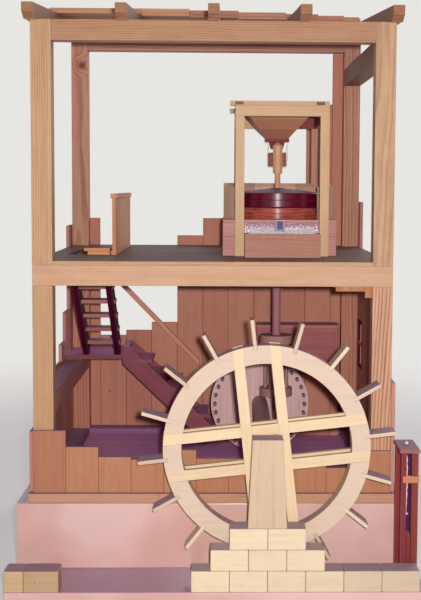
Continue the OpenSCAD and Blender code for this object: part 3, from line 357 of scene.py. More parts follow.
def plank(outline, low, high, basis, ease, seed=0, tone=None, grain_angle=0.0):
    """A board sawn to an outline, its two faces eased.

    A point is a times the first basis vector, b times the second and c times the third. (a, b)
    runs along the outline, moved inwards by the mitred normals near both faces, and c takes six
    steps from one face to the other.
    """
    flat = np.array(outline, float)
    ahead = np.roll(flat, -1, 0)
    if (flat[:, 0] * ahead[:, 1] - ahead[:, 0] * flat[:, 1]).sum() < 0:
        flat = flat[::-1].copy()
        ahead = np.roll(flat, -1, 0)
    step = ahead - flat
    step /= np.linalg.norm(step, axis=1)[:, None]
    before = np.roll(step, 1, 0)
    normal = np.stack([step[:, 1], -step[:, 0]], -1)
    normal_before = np.stack([before[:, 1], -before[:, 0]], -1)
    mitre = (normal + normal_before) / np.maximum(1 + (normal * normal_before).sum(1), 0.3)[:, None]
    shrink, travel, side, end_wear = ease_steps()
    ease = min(ease, (high - low) * 0.45)
    ab = flat[None] - mitre[None] * (shrink * ease)[:, None, None]
    c = (low + high) / 2 + side * ((high - low) / 2 - ease) + travel * ease
    c = np.broadcast_to(c[:, None], ab.shape[:2])
    e0, e1, e2 = (np.array(v, float) for v in basis[:3])
    start = np.array(basis[3], float) if len(basis) > 3 else np.zeros(3)
    points = start + ab[..., :1] * e0 + ab[..., 1:] * e1 + c[..., None] * e2
    if np.dot(np.cross(e0, e1), e2) < 0:
        points = points[::-1]
        c = c[::-1]
    rng = np.random.default_rng(seed)
    turn = math.pi / 4 + rng.integers(0, 4) * math.pi / 2 + rng.uniform(-0.2, 0.2)
    pith = rng.uniform(120, 220)
    ca, sa = math.cos(grain_angle), math.sin(grain_angle)
    ab = ab if np.dot(np.cross(e0, e1), e2) > 0 else ab[::-1]
    local = np.stack(
        [
            ab[..., 0] * ca + ab[..., 1] * sa + rng.uniform(-900, 900),
            ab[..., 1] * ca - ab[..., 0] * sa + pith * math.cos(turn), c + pith * math.sin(turn)
        ],
        -1
    )
    k = len(flat)
    wear = np.repeat(end_wear, k)
    tone = rng.uniform(0, 1) if tone is None else tone
    return Shape(points, tube_faces(1, 6, k), end_caps(1, 6, k), local, tone, wear)


def turned(profile, centre, axis, around=64, closed=False, seed=0, tone=0.5, flat_grain=False, wear=0.0):
    """A piece turned on a lathe: radius and height of the profile, carried round the axis.

    A point is the centre plus height along the axis plus radius times the cosine and the sine of
    the angle in the plane across it. The profile runs from low to high on the outside.
    """
    radius, height = np.array(profile, float).T
    axis = np.array(axis, float)
    across = np.array(X if abs(axis[0]) < 0.5 else Z)
    through = np.cross(axis, across)
    angle = np.arange(around) * 2 * math.pi / around
    rr, hh = radius[:, None], height[:, None]
    a, b = rr * np.cos(angle), rr * np.sin(angle)
    hh = np.broadcast_to(hh, a.shape)
    points = np.array(centre, float) + hh[..., None] * axis + a[..., None] * across + b[..., None] * through
    rng = np.random.default_rng(seed)
    local = np.stack([a, b, hh] if flat_grain else [hh, a, b], -1)
    local = local + (rng.uniform(-500, 500), rng.uniform(20, 60), rng.uniform(30, 70))
    caps = [] if closed else end_caps(1, len(radius), around)
    shape_wear = np.repeat(np.broadcast_to(wear, radius.shape), around)
    return Shape(points, tube_faces(1, len(radius), around, closed), caps, local, tone, shape_wear, True)


def smooth_path(points, steps=5):
    """A smooth curve through points.

    Each stretch is a cubic of its two ends and their outer neighbours, weighted by powers of the
    share t of the stretch.
    """
    ends = np.concatenate([[2 * points[0] - points[1]], points, [2 * points[-1] - points[-2]]])
    t = np.arange(steps)[None, :, None] / steps
    a, b, c, d = (ends[k : len(ends) - 3 + k, None] for k in range(4))
    curve = b + (c - a) * t / 2 + (
        2 * a - 5 * b + 4 * c - d
    ) * t**2 / 2 + (3 * b - a - 3 * c + d) * t**3 / 2
    return np.concatenate([curve.reshape(-1, points.shape[1]), points[-1:]])


def cordage(path, radius, around=10, strands=3, lay=9.0):
    """A twisted string along a path.

    A ring stands square to the path at each point; its radius is the string's, made larger and
    smaller by a cosine of strands times the angle plus the length run, which twists the strands.
    """
    path = np.array(path, float)
    run = np.gradient(path, axis=0)
    run /= np.linalg.norm(run, axis=1)[:, None]
    side = np.cross(run, Y if abs(run[0] @ Y) < 0.9 else X)
    side /= np.linalg.norm(side, axis=1)[:, None]
    up = np.cross(run, side)
    length = np.concatenate([[0], np.cumsum(np.linalg.norm(np.diff(path, axis=0), axis=1))])
    angle = np.arange(around) * 2 * math.pi / around
    thick = radius * (0.9 + 0.1 * np.cos(strands * angle[None] + length[:, None] * lay))[..., None]
    points = path[:, None] - thick * (
        np.cos(angle)[None, :, None] * side[:, None] + np.sin(angle)[None, :, None] * -up[:, None]
    )
    local = np.stack(
        [
            np.broadcast_to(length[:, None], points.shape[:2]),
            np.broadcast_to(np.cos(angle), points.shape[:2]),
            np.broadcast_to(np.sin(angle), points.shape[:2])
        ],
        -1
    )
    return Shape(
        points, tube_faces(1, len(path), around), end_caps(1, len(path), around), local, 0.5, 0.0, True
    )


def build(name, shapes, material, node=None, body="house"):
    """Puts shapes into one mesh in the frame's metres, with its finish and body, and hides the CAD node it
    replaces.
    """
    counts = np.cumsum([0] + [len(s.points) for s in shapes])
    points = np.concatenate([s.points for s in shapes])
    faces, smooth = [], []
    for start, shape in zip(counts, shapes):
        part = (shape.quads + start).tolist() + [[i + int(start) for i in cap] for cap in shape.caps]
        faces += part
        smooth += [shape.smooth] * len(part)
    mesh = bpy.data.meshes.new(name)
    mesh.from_pydata(((points + ORIGIN) / 1000).tolist(), [], faces)
    mesh.polygons.foreach_set("use_smooth", smooth)
    grain = mesh.attributes.new("grain", "FLOAT_VECTOR", "POINT")
    grain.data.foreach_set("vector", np.concatenate([s.grain for s in shapes]).astype(np.float32).ravel())
    for key in ("tone", "wear"):
        values = np.concatenate([getattr(s, key) for s in shapes]).astype(np.float32)
        mesh.attributes.new(key, "FLOAT", "POINT").data.foreach_set("value", values)
    if any(smooth):
        mesh.set_sharp_from_angle(angle=math.radians(35))
    mesh.validate()
    mesh.materials.append(material)
    piece = bpy.data.objects.new(name, mesh)
    bpy.context.scene.collection.objects.link(piece)
    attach(piece, body)
    if node:
        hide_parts(node)
    return piece


def timber(name, rows, ease, seed, material, node=None, body="house", tones=None):
    """One mesh of straight timber; what rows hold is said at boxes."""
    return build(name, [boxes(rows, ease, seed, tones)], material, node, body)


# ---- finishes


class Number:
    """A number in a shader; arithmetic on it adds Math nodes."""

    def __init__(self, finish, socket):
        self.finish, self.socket = finish, socket

    def __add__(self, other):
        return self.finish.math("ADD", self, other)

    def __sub__(self, other):
        return self.finish.math("SUBTRACT", self, other)

    def __rsub__(self, other):
        return self.finish.math("SUBTRACT", other, self)

    def __mul__(self, other):
        return self.finish.math("MULTIPLY", self, other)

    def __truediv__(self, other):
        return self.finish.math("DIVIDE", self, other)

    def __pow__(self, other):
        return self.finish.math("POWER", self, other)

    __radd__, __rmul__ = __add__, __mul__


class Finish:
    """A material and the nodes that make it."""

    def __init__(self, name):
        self.material = bpy.data.materials.new(name)
        self.material.use_nodes = True
        self.tree = self.material.node_tree
        self.tree.nodes.clear()
        self.shader = self.add("ShaderNodeBsdfPrincipled")
        self.output = self.add("ShaderNodeOutputMaterial", sockets={"Surface": self.shader.outputs[0]})

    def add(self, kind, settings=None, sockets=None):
        """A node of one kind, its settings made first and then its sockets filled or linked."""
        node = self.tree.nodes.new(kind)
        for key, value in (settings or {}).items():
            if key == "stops":
                ramp = node.color_ramp
                while len(ramp.elements) < len(value):
                    ramp.elements.new(0.5)
                for element, (position, level) in zip(ramp.elements, value):
                    element.position = position
                    element.color = (level, level, level, 1)
            else:
                setattr(node, key, value)
        for key, value in (sockets or {}).items():
            self.put(node, key, value)
        return node

    def put(self, node, key, value):
        """Fills or links one socket of a node."""
        if isinstance(value, Number):
            value = value.socket
        if isinstance(value, bpy.types.NodeSocket):
            self.tree.links.new(value, node.inputs[key])
        elif isinstance(value, tuple) and len(value) == 3 and node.inputs[key].type == "RGBA":
            node.inputs[key].default_value = (*value, 1)
        else:
            node.inputs[key].default_value = value

    def math(self, operation, *values):
        node = self.add("ShaderNodeMath", {"operation": operation}, dict(enumerate(values)))
        return Number(self, node.outputs[0])

    def attribute(self, name, output="Fac"):
        return self.add("ShaderNodeAttribute", {"attribute_name": name}).outputs[output]

    def vector(self, x, y, z):
        return self.add("ShaderNodeCombineXYZ", sockets={"X": x, "Y": y, "Z": z}).outputs[0]

    def noise(self, vector, detail=2.0, rough=0.5):
        node = self.add(
            "ShaderNodeTexNoise",
            sockets={"Vector": vector, "Scale": 1.0, "Detail": detail, "Roughness": rough}
        )
        return Number(self, node.outputs["Fac"])

    def step(self, value, low, high):
        """0 below low, 1 above high and smooth between them."""
        node = self.add(
            "ShaderNodeMapRange", {"interpolation_type": "SMOOTHSTEP"},
            {"Value": value, "From Min": low, "From Max": high}
        )
        return Number(self, node.outputs["Result"])

    def blend(self, share, first, second, mode="MIX"):
        """Mixes two colours."""
        node = self.add("ShaderNodeMix", {"data_type": "RGBA", "blend_type": mode})
        self.put(node, 0, share)
        self.put(node, 6, first)
        self.put(node, 7, second)
        return node.outputs[2]

    def surface(self, **sockets):
        for key, value in sockets.items():
            self.put(self.shader, key.replace("_", " "), value)
        return self.material

    def shade_tops(self, shade, share, dust="film"):
        """Painted shade over the colour of faces that look up: a mauve grey wash for the dim light they
        get.
        """
        normal = self.add("ShaderNodeTexCoord").outputs["Normal"]
        self.flat_top = self.step(self.parts(normal)[2], 0.55, 0.95)
        return self.blend(self.flat_top * share, shade, chosen(dust))

    def relief(self, height, depth, strength=1.0):
        """A bump whose depth is in millimetres."""
        node = self.add(
            "ShaderNodeBump", sockets={"Height": height, "Distance": depth / 1000, "Strength": strength}
        )
        self.put(self.shader, "Normal", node.outputs[0])

    def scaled(self, vector, factor):
        node = self.add("ShaderNodeVectorMath", {"operation": "SCALE"}, {0: vector, "Scale": factor})
        return node.outputs[0]

    def place_mm(self):
        """The place on the object, in millimetres."""
        return self.scaled(self.add("ShaderNodeTexCoord").outputs["Object"], 1000.0)

    def apart(self, first, second):
        """Distance between two places."""
        node = self.add("ShaderNodeVectorMath", {"operation": "DISTANCE"}, {0: first, 1: second})
        return Number(self, node.outputs["Value"])

    def parts(self, vector):
        """The three numbers of a vector."""
        node = self.add("ShaderNodeSeparateXYZ", sockets={0: vector})
        return [Number(self, output) for output in node.outputs]


def darker(base, share):
    """A colour taken down by a share, its red kept a little longer than its blue."""
    return tuple(c * (1 - share * k) for c, k in zip(base, (0.82, 1.0, 1.08)))


def lighter(base, share):
    return tuple(c + (1 - c) * share for c in base)


def wood(
    name,
    base,
    late=None,
    ring=2.6,
    rings=0.55,
    streaks=0.5,
    fibre=0.35,
    tones=0.16,
    rough=0.5,
    coat=0.0,
    depth=0.06,
    axis=None,
    knots=(),
    wave=1.0,
    ends=0.25,
    above=None,
    cloud=0.3,
    shine=0.08,
    film=0.55,
    coat_rough=0.12,
    dusty=None,
    dust="film",
):
    """Wood whose rings are circles round a far pith, drawn out along the grain.

    axis None reads the piece's own grain attribute; x, y or z reads the place on the object with
    that axis along the grain. knots are (x, y, z, radius) in millimetres on the object. above is
    a height along the grain and the colour beyond it. cloud is the strength of soft mottling.
    Worn edges are lighter by the share ends, or darker where it is below nought. dusty gives two
    heights on the object: flour lies thickest below the first and thins out up to the second.
    """
    f = Finish(name)
    late = late or darker(base, 0.34)
    if axis is None:
        gx, gy, gz = f.parts(f.attribute("grain", "Vector"))
        tone = Number(f, f.attribute("tone"))
        wear = Number(f, f.attribute("wear"))
    else:
        place = f.parts(f.place_mm())
        gx, gy, gz = (place["xyz".index(k)] for k in {"x": "xyz", "y": "yxz", "z": "zxy"}[axis])
        gy, gz = gy + 163.0, gz + 147.0
        tone, wear = 0.5, None
    warp = f.noise(f.vector(gx * 0.008, gy * 0.03, gz * 0.03), 1.0)
    round_pith = (gy * gy + gz * gz) ** 0.5
    here = f.place_mm() if knots or dusty else None
    spots = [(f.apart(here, (x, y, z)), radius) for x, y, z, radius in knots]
    for away, radius in spots:
        near = 1 - f.step(away, radius * 0.6, radius * 2.6)
        round_pith = round_pith + near * (ring * 1.6)
    hair = f.noise(f.vector(gx * 0.05, gy * 1.9, gz * 1.9), 3.0, 0.6)
    broad = f.noise(f.vector(gx * 0.006, gy * 0.16, gz * 0.16), 2.0)
    turns = (round_pith + warp * (ring * 2.4 * wave) + broad * (ring * wave)) / ring
    part = f.math("FRACT", turns)
    band = f.add(
        "ShaderNodeValToRGB", {"stops": [(0.0, 0.05), (0.4, 0.2), (0.84, 1.0), (0.99, 0.1)]}, {0: part}
    )
    late_wood = Number(f, band.outputs[0])
    mottle = f.noise(f.vector(gx * 0.035, gy * 0.12, gz * 0.12), 3.0, 0.6)
    dark = late_wood * rings * (0.35 + broad) + (hair - 0.5) * (2 * fibre) + (broad - 0.5) * (1.6 * streaks)
    dark = dark + (mottle - 0.5) * (2 * cloud)
    dark = f.math("MAXIMUM", f.math("MINIMUM", dark, 1.0), 0.0)
    shade = f.blend(dark, base, late)
    if above:
        other = f.blend(dark, above[1], darker(above[1], 0.34))
        shade = f.blend(f.step(gx, above[0] - 1, above[0] + 1), shade, other)
    level = 1 + (tone - 0.5) * (2 * tones) if isinstance(tone, Number) else 1.0
    hue = 0.5 + (tone - 0.5) * (0.12 * tones) if isinstance(tone, Number) else 0.5
    shade = f.add(
        "ShaderNodeHueSaturation", sockets={"Color": shade, "Value": level, "Hue": hue}
    ).outputs[0]
    if wear is not None:
        shade = f.blend(wear * abs(ends), shade, lighter(base, 0.35) if ends > 0 else darker(base, 0.75))
    for away, radius in spots:
        away = away + (hair - 0.5) * (radius * 0.5)
        heart = 1 - f.step(away, radius * 0.8, radius * 1.1)
        shade = f.blend(heart * 0.7, shade, lighter(chosen("knot"), 0.12))
        core = 1 - f.step(away, radius * 0.35, radius * 0.8)
        shade = f.blend(core * 0.8, shade, chosen("knot"))
    f.relief(late_wood * 0.5 + hair * 0.5, depth)
    f.put(f.shader, "Roughness", (hair - 0.5) * 0.16 + rough)
    # painted shade: faces that look up take a mauve grey wash
    shade = f.shade_tops(shade, film, dust)
    if dusty:
        crumbs = f.noise(f.scaled(here, 0.55), 5.0, 0.7)
        low = 1 - f.step(f.parts(here)[2], *dusty)
        # a mauve grey wash over the whole piece, stronger low down, then white crumbs of meal, thickest low
        # down
        shade = f.blend(low * 0.3 + 0.35, shade, chosen("film"))
        shade = f.blend(f.step(crumbs + low * 0.12, 0.56, 0.66), shade, chosen("meal"))
    if coat:
        f.put(f.shader, "Coat Weight", (1 - f.flat_top) * coat)
    return f.surface(Base_Color=shade, Specular_IOR_Level=shine, Coat_Roughness=coat_rough)


def gloss_paint(name, base):
    """Sprayed gloss paint with soft lighter clouds and a faint orange peel."""
    f = Finish(name)
    here = f.place_mm()
    cloud = f.noise(f.scaled(here, 0.012))
    peel = f.noise(f.scaled(here, 0.9))
    shade = f.blend(f.step(cloud, 0.35, 0.65), darker(base, 0.1), lighter(base, 0.12))
    # painted shade: faces of the paint that look up take a mauve grey wash
    shade = f.shade_tops(shade, 0.75)
    f.relief(peel, 0.01)
    f.put(f.shader, "Roughness", f.step(cloud, 0.3, 0.8) * 0.1 + 0.22)
    return f.surface(Base_Color=shade, Specular_IOR_Level=0.3, Coat_Weight=0.3, Coat_Roughness=0.08)


def white_meal(name, base):
    """Coarse white meal: crumbs from two sizes of noise."""
    f = Finish(name)
    here = f.place_mm()
    crumbs = f.noise(f.scaled(here, 0.9), 6.0, 0.75)
    shade = f.blend(f.step(crumbs, 0.35, 0.62), darker(base, 0.16), base)
    f.relief(crumbs, 0.4)
    return f.surface(Base_Color=shade, Roughness=0.9)


def cotton(name, base):
    """White cotton, with painted shade where the strands dip between each other."""
    f = Finish(name)
    along, cosine, sine = f.parts(f.attribute("grain", "Vector"))
    lay = f.math("SINE", along * 9.0 + cosine * 2.0)
    fuzz = f.noise(f.vector(along * 3.0, cosine * 2.0, sine * 2.0), 3.0)
    shade = f.blend(f.step(lay * 0.5 + fuzz, 0.2, 0.9), darker(base, 0.15), base)
    f.relief(lay * 0.5 + fuzz, 0.15)
    return f.surface(Base_Color=shade, Roughness=0.85)


def chosen(name):
    """Colour of one finish as set in the panel."""
    return tuple(getattr(bpy.context.scene.mill_colours, name))


FINISHES = {}


def finish(name, **options):
    """A wood finish of the panel's colour, made once."""
    key = name + (f"_axis_{options['axis']}" if "axis" in options else "")
    if key not in FINISHES:
        FINISHES[key] = wood("mill_" + key, chosen(name), **options)
    return FINISHES[key]


def dress(node, material):
    """Gives a CAD node a finish in all of its material slots."""
    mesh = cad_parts[node].data
    if not mesh.materials:
        mesh.materials.append(material)
    for index in range(len(mesh.materials)):
        mesh.materials[index] = material


PINE = {"ring": 1.9, "rings": 0.65, "streaks": 0.3, "fibre": 0.2, "tones": 0.07}
STRIPED = {"ring": 3.0, "rings": 0.9}


def pine(kind="pine", **options):
    """The frame's pine with its narrow dark rings; kind names one of its sorts."""
    return finish(kind, late=chosen(kind + "_late"), **(PINE | options))


def wall_wood(kind="wall", **options):
    """Boards of the walls, with dark joints; kind names their colour."""
    look = {"ring": 4.4, "rings": 0.2, "fibre": 0.28, "tones": 0.1, "rough": 0.55}
    return finish(kind, **(look | {"cloud": 0.4, "ends": -0.8} | options))


# ---- pieces of the base and the house


class MillPiece:
    """What all of the mill's operators share."""

    bl_options = {"REGISTER", "UNDO"}


class MILL_OT_base(MillPiece, Operator):
    """Base board and plinth, a box of boards with eased edges and gloss paint."""

    bl_idname = "mill.base"
    bl_label = "Base and Plinth"

    def execute(self, context):
        paint = gloss_paint("mill_paint", chosen("paint"))
        low, high = place("base_board")
        timber("base_slab", [(low, high, "x")], 1.0, 1, paint, "base_board")
        low, high = place("plinth")
        top, wall = high[2] - 4.0, 6.0
        rows = [
            ((low[0] + wall, low[1] + wall, top), (high[0] - wall, high[1] - wall, high[2]), "x"),
            (low, (high[0], low[1] + wall, high[2]), "x"), ((low[0], high[1] - wall, low[2]), high, "x"),
            ((low[0], low[1] + wall, low[2]), (low[0] + wall, high[1] - wall, high[2]), "y"),
            ((high[0] - wall, low[1] + wall, low[2]), (high[0], high[1] - wall, high[2]), "y")
        ]
        timber("plinth_box", rows, 0.6, 2, paint, "plinth")
        return {"FINISHED"}


def course(x, y, level, widths, size, gap):
    """Corners of the blocks of one course, from its left end."""
    edges = x + np.concatenate([[0], np.cumsum(widths)])
    depth, height = size
    return [
        ((a + gap, y, level * height + gap / 2), (b - gap, y + depth, (level + 1) * height - gap / 2), "x")
        for a, b in pairs(edges)
    ]


class MILL_OT_blocks(MillPiece, Operator):
    """Blocks of the stepped pier and the left quay, and the tapered post on the pier."""

    bl_idname = "mill.blocks"
    bl_label = "Blocks and Bearing Post"

    def execute(self, context):
        gap = preset("block_joint") / 2
        low, high = place("stepped_pier")
        size = (high[1] - low[1], (high[2] - low[2]) / 3)
        step = (high[0] - low[0]) / 6
        rows = course(low[0], low[1], 0, [step] * 6, size, gap)
        rows += course(low[0] + step / 2, low[1], 1, [step] * 3, size, gap)
        rows += course(low[0] + step, low[1], 2, [step] * 2, size, gap)
        block = finish(
            "block", ring=4.5, rings=0.14, streaks=0.3, fibre=0.16, tones=0.3, rough=0.6, cloud=0.5
        )
        tones = [0.55, 0.5, 0.45, 0.42, 0.25, 0.2, 0.56, 0.48, 0.5, 0.56, 0.5]
        timber("pier_blocks", rows, 0.9, 11, block, "stepped_pier", tones=tones)
        low, high = place("left_quay")
        rows = course(low[0], low[1], 0, [18.3, high[0] - low[0] - 18.3], size, gap)
        quay = wood(
            "mill_quay", chosen("quay"), ring=3.5, rings=0.4, tones=0.08, rough=0.6,
            knots=[(-169.2, -210.0, 27.6, 0.8)]
        )
        timber("quay_blocks", rows, 0.9, 12, quay, "left_quay")
        low, high = place("bearing_post")
        foot, head, mid = (high[0] - low[0]) / 2, 14.3, WHEEL[0]
        outline = [(mid - foot, low[2]), (mid + foot, low[2]), (mid + head, high[2]), (mid - head, high[2])]
        post = plank(outline, -high[1], -low[1], (X, Z, -Y), 0.9, 13, 0.5, math.pi / 2)
        pale = finish("bearing", ring=5.0, rings=0.15, streaks=0.6, fibre=0.35, rough=0.55, cloud=0.4)
        build("bearing_block", [post], pale, "bearing_post")
        return {"FINISHED"}


class MILL_OT_frame(MillPiece, Operator):
    """Sill, posts and beams: square pine timber with eased edges."""

    bl_idname = "mill.frame"
    bl_label = "Timber Frame"

    def execute(self, context):
        ease = preset("post_ease")
        low, high = place("sill_frame")
        seam = -53.5
        skin = 6.0
        rows = [
            (low, (seam, POST, high[2]), "x"), ((seam, low[1], low[2]), (high[0], POST, high[2]), "x"),
            ((low[0], IN_D + skin, low[2]), high, "x"),
            ((low[0], POST, low[2]), (-IN_W - skin, IN_D + skin, high[2]), "y"),
            ((IN_W + skin, POST, low[2]), (high[0], IN_D + skin, high[2]), "y")
        ]
        # painted shade: the sill beams' tops are washed almost wholly in mauve grey
        sill = finish("sill", ring=2.8, rings=0.4, tones=0.05, film=0.95)
        timber("sill_beams", rows, ease, 21, sill, "sill_frame")
        # painted shade: thin mauve skins on the sill's inner sides, where shade falls
        rows = [
            ((-IN_W - skin, IN_D, low[2]), (IN_W + skin, IN_D + skin, high[2]), "x"),
            ((-IN_W - skin, POST, low[2]), (-IN_W, IN_D, high[2]), "y"),
            ((IN_W, POST, low[2]), (IN_W + skin, IN_D, high[2]), "y")
        ]
        skins = finish("skins", ring=3.2, rings=0.2, tones=0.1, film=0.3)
        timber("sill_skins", rows, 0.3, 29, skins)

        def posts(y, foot, head, seed, piths, sides=(-HALF_W, IN_W)):
            """The posts that stand at a depth, the left and the right one where sides isn't given."""
            rows = [((x, y, foot), (x + POST, y + POST, head), "z") for x in sides]
            return boxes(rows, ease, seed, piths=piths)

        # the tree's middle lies far off for straight lines and near the face for slanting ones
        straight = (2.4, 160, 0.001, 1)
        left, right = (-HALF_W,), (IN_W,)
        soft = pine("flame", rings=0.5)
        wavy = PINE | {"ring": 3.3, "rings": 1.1, "wave": 0.7, "fibre": 0.3}
        flamed = wood("mill_wavy_pine", chosen("wavy"), late=chosen("wavy_late"), **wavy)
        lower = posts(0, Z_SILL, Z_BEAM, 27, [(0.7, 170, 0.002, 1)], left)
        build("lower_post_timber", [lower], pine(), "lower_posts")
        lower = posts(0, Z_SILL, Z_BEAM, 32, [(0.25, 170, -0.045, 1)], right)
        build("lower_post_right", [lower], flamed)
        lower = posts(IN_D, Z_SILL, Z_BEAM, 22, [straight, straight])
        # painted shade: the rear lower posts take the pinker wall colour with strong stripes, for their
        # depth in the house
        low_pine = wood(
            "mill_low_rear_pine", chosen("wall"), late=darker(chosen("wall"), 0.45), **(PINE | STRIPED)
        )
        build("rear_lower_posts", [lower], low_pine)
        knot = (-169.4, 169.0, 543.0, 6.2)
        knotty = wood(
            "mill_knotty_pine", chosen("rear"), late=chosen("rear_late"), **(PINE | STRIPED), knots=[knot]
        )
        upper = posts(0, Z_DECK, Z_FRONT, 23, [(0.7, 180, 0.002, 1)], left)
        build("upper_post_timber", [upper], pine("upper"), "upper_posts")
        upper = posts(0, Z_DECK, Z_FRONT, 33, [(-1.25, 70, -0.03, 0.9)], right)
        build("upper_post_right", [upper], soft)
        upper = posts(IN_D, Z_DECK, Z_BACK, 30, [(-1.4, 46, 0.03, 1), straight])
        build("rear_upper_posts", [upper], knotty)
        rows = [((-HALF_W, y, Z_BEAM), (HALF_W, y + POST, Z_DECK), "x") for y in (0, IN_D)]
        calm = wood(
            "mill_calm_pine", chosen("calm"), late=chosen("pine_late"),
            **(PINE | {"rings": 0.35, "ring": 1.6})
        )
        timber("cross_beam_timber", rows, ease, 24, calm, "cross_floor_beams")
        rows = [((x, POST, Z_BEAM), (x + POST, IN_D, Z_DECK), "y") for x in (-HALF_W, IN_W)]
        timber("side_beam_timber", rows, ease, 25, pine(), "side_floor_beams")
        rows = [((-IN_W, 0, Z_FRONT - 20), (IN_W, POST, Z_FRONT), "x")]
        timber("top_beam_timber", rows, ease, 26, pine("lintel"), "top_beams")
        rows = [((-IN_W, IN_D, Z_BACK - 20), (IN_W, DEPTH, Z_BACK), "x")]
        timber("rear_top_beam", rows, ease, 31, pine("rear"))
        low, high = place("right_top_rail")
        # painted shade: the right top rail is darkened for the shade under the roof
        timber(
            "top_rail_timber", [(low, high, "y")], ease, 27, finish("top_rail"),
            "right_top_rail"
        )
        low, high = place("left_girt")
        # painted shade: the girt takes the side boards' mauve cast
        timber("girt_timber", [(low, high, "y")], ease, 28, wall_wood("side"), "left_girt")
        return {"FINISHED"}


def rafter_foot(y):
    """Underside of the rafters at a depth: a line that rises with the roof's slope."""
    return Z_FRONT + ROOF_SLOPE * (y - POST / 2)


def rafter_outline():
    """Side view of a rafter: its front tail is half a cosine wave between lip and foot."""
    low, high = place("rafters")
    front, back = low[1], high[1]
    share = np.linspace(0, 1, 13)
    lip = rafter_foot(front) + 0.38 * RAFTER_H
    foot = rafter_foot(front + 11) + 1.2
    tail = np.stack(
        [front + 0.6 + 10.4 * share, lip - (lip - foot) * (1 - np.cos(math.pi * share)) / 2], -1
    )
    rest = [
        (front + 11, rafter_foot(front + 11)), (0, rafter_foot(0)), (0, Z_FRONT), (POST, Z_FRONT),
        (POST, rafter_foot(POST)), (IN_D, rafter_foot(IN_D)), (IN_D, Z_BACK), (DEPTH, Z_BACK),
        (DEPTH, rafter_foot(DEPTH)), (back, rafter_foot(back)), (back, rafter_foot(back) + RAFTER_H),
        (front, rafter_foot(front) + RAFTER_H), (front, lip)
    ]
    return np.concatenate([tail, rest])


class MILL_OT_roof(MillPiece, Operator):
    """Rafters with moulded tails, and roof boards that lap over each other in steps."""

    bl_idname = "mill.roof"
    bl_label = "Roof"

    def execute(self, context):
        tilt = math.atan(ROOF_SLOPE)
        outline = rafter_outline()
        shapes = [
            plank(outline, x - RAFTER_W / 2, x + RAFTER_W / 2, (Y, Z, X), 0.5, 30 + i, None, tilt)
            for i, x in enumerate(RAFTER_STEP * (np.arange(5) - 2))
        ]
        build("rafter_timber", shapes, pine("rafter"), "rafters")
        ends = [-82, -29, 26, 81, 120, 153, 174, 178.5]
        low, high = place("roof_boards")
        shapes = []
        for i, end in enumerate(ends):
            y = ROOF_START + ROOF_COURSE * i
            width = min(30.5, high[1] - y)
            under = 2.71 if i else 0.0
            base = rafter_foot(y) + RAFTER_H
            outline = np.array(
                [
                    (0, under), (0, under + 4.6), (width, ROOF_SLOPE * width + 1.6),
                    (width, ROOF_SLOPE * width), (6.15, ROOF_SLOPE * 6.15),
                    (6.15, ROOF_SLOPE * 6.15 + under)
                ]
            )
            outline = outline if i else np.delete(outline, [4, 5], 0)
            board = plank(outline + (y, base), low[0], min(end, high[0]), (Y, Z, X), 0.3, 40 + i)
            shapes.append(board.endwise())
        # darker eased edges of the roof boards: dark joints, and painted shade under each course's lapping
        # lip
        roof = finish("roof", ring=3.0, rings=0.5, tones=0.14, ends=-0.5)
        build("roof_board_courses", shapes, roof, "roof_boards")
        return {"FINISHED"}


class MILL_OT_floors(MillPiece, Operator):
    """Floor boards of both storeys and the stair landing, laid side by side."""

    bl_idname = "mill.floors"
    bl_label = "Floors"

    def execute(self, context):
        gap = preset("joint") / 2
        ease = preset("board_ease")
        low, high = place("lower_floor")
        edges = [low[1], 95, 170, 245, high[1]]
        rows = [((low[0], a + gap, low[2]), (high[0], b - gap, high[2]), "x") for a, b in pairs(edges)]
        # painted shade: the lower floor's mauve
        ground = finish("ground", ring=3.2, rings=0.2, tones=0.1, rough=0.4, film=0.0, shine=0.35)
        timber("ground_boards", rows, ease, 51, ground, "lower_floor")
        well = (109.2, 223.0)
        well_x = FLIGHT_X + 0.8
        lip = 1.6
        edges = [lip, 54, well[0], 166, 223, 268, DEPTH - lip]
        rows = []
        for a, b in pairs(edges):
            side = HALF_W if a >= POST and b <= IN_D else IN_W
            gap = 0.25 if b == 54 else preset("joint") / 2
            cut = well[0] - 1 < (a + b) / 2 < well[1]
            left = well_x if cut else -side
            rows.append(((left, a + gap, Z_DECK), (side, b - gap, Z_FLOOR), "x"))
            if cut:
                rows.append(((-HALF_W, a + gap, Z_DECK), (-IN_W, b - gap, Z_FLOOR), "x"))
        for x0, x1 in ((-HALF_W, -IN_W), (IN_W, HALF_W)):
            rows.append(((x0, POST, Z_DECK), (x1, 54 - gap, Z_FLOOR), "x"))
            rows.append(((x0, 268 + gap, Z_DECK), (x1, IN_D, Z_FLOOR), "x"))
        # the deck's grey brown is its wood darkened further with painted shade
        deck = finish("deck", ring=3.0, rings=0.3, streaks=0.6, tones=0.12, film=0.1)
        timber("deck_boards", rows, ease, 52, deck, "upper_floor")
        rows = [((-IN_W, a, Z_DECK), (IN_W, a + lip, Z_FLOOR), "x") for a in (0, DEPTH - lip)]
        timber("deck_lipping", rows, 0.3, 54, pine())
        low, high = place("stair_landing")
        mid = (low[1] + IN_D) / 2
        rows = [
            (low, (high[0], mid - gap, high[2]), "x"),
            ((low[0], mid + gap, low[2]), (high[0], IN_D, high[2]), "x"), ((-IN_W, IN_D, low[2]), high, "x")
        ]
        # painted shade: the landing's tops take the lower floor's mauve
        dark = finish("landing", ring=2.2, rings=0.4, tones=0.1, film=0.7, dust="ground")
        timber("landing_boards", rows, ease, 53, dark, "stair_landing")
        return {"FINISHED"}


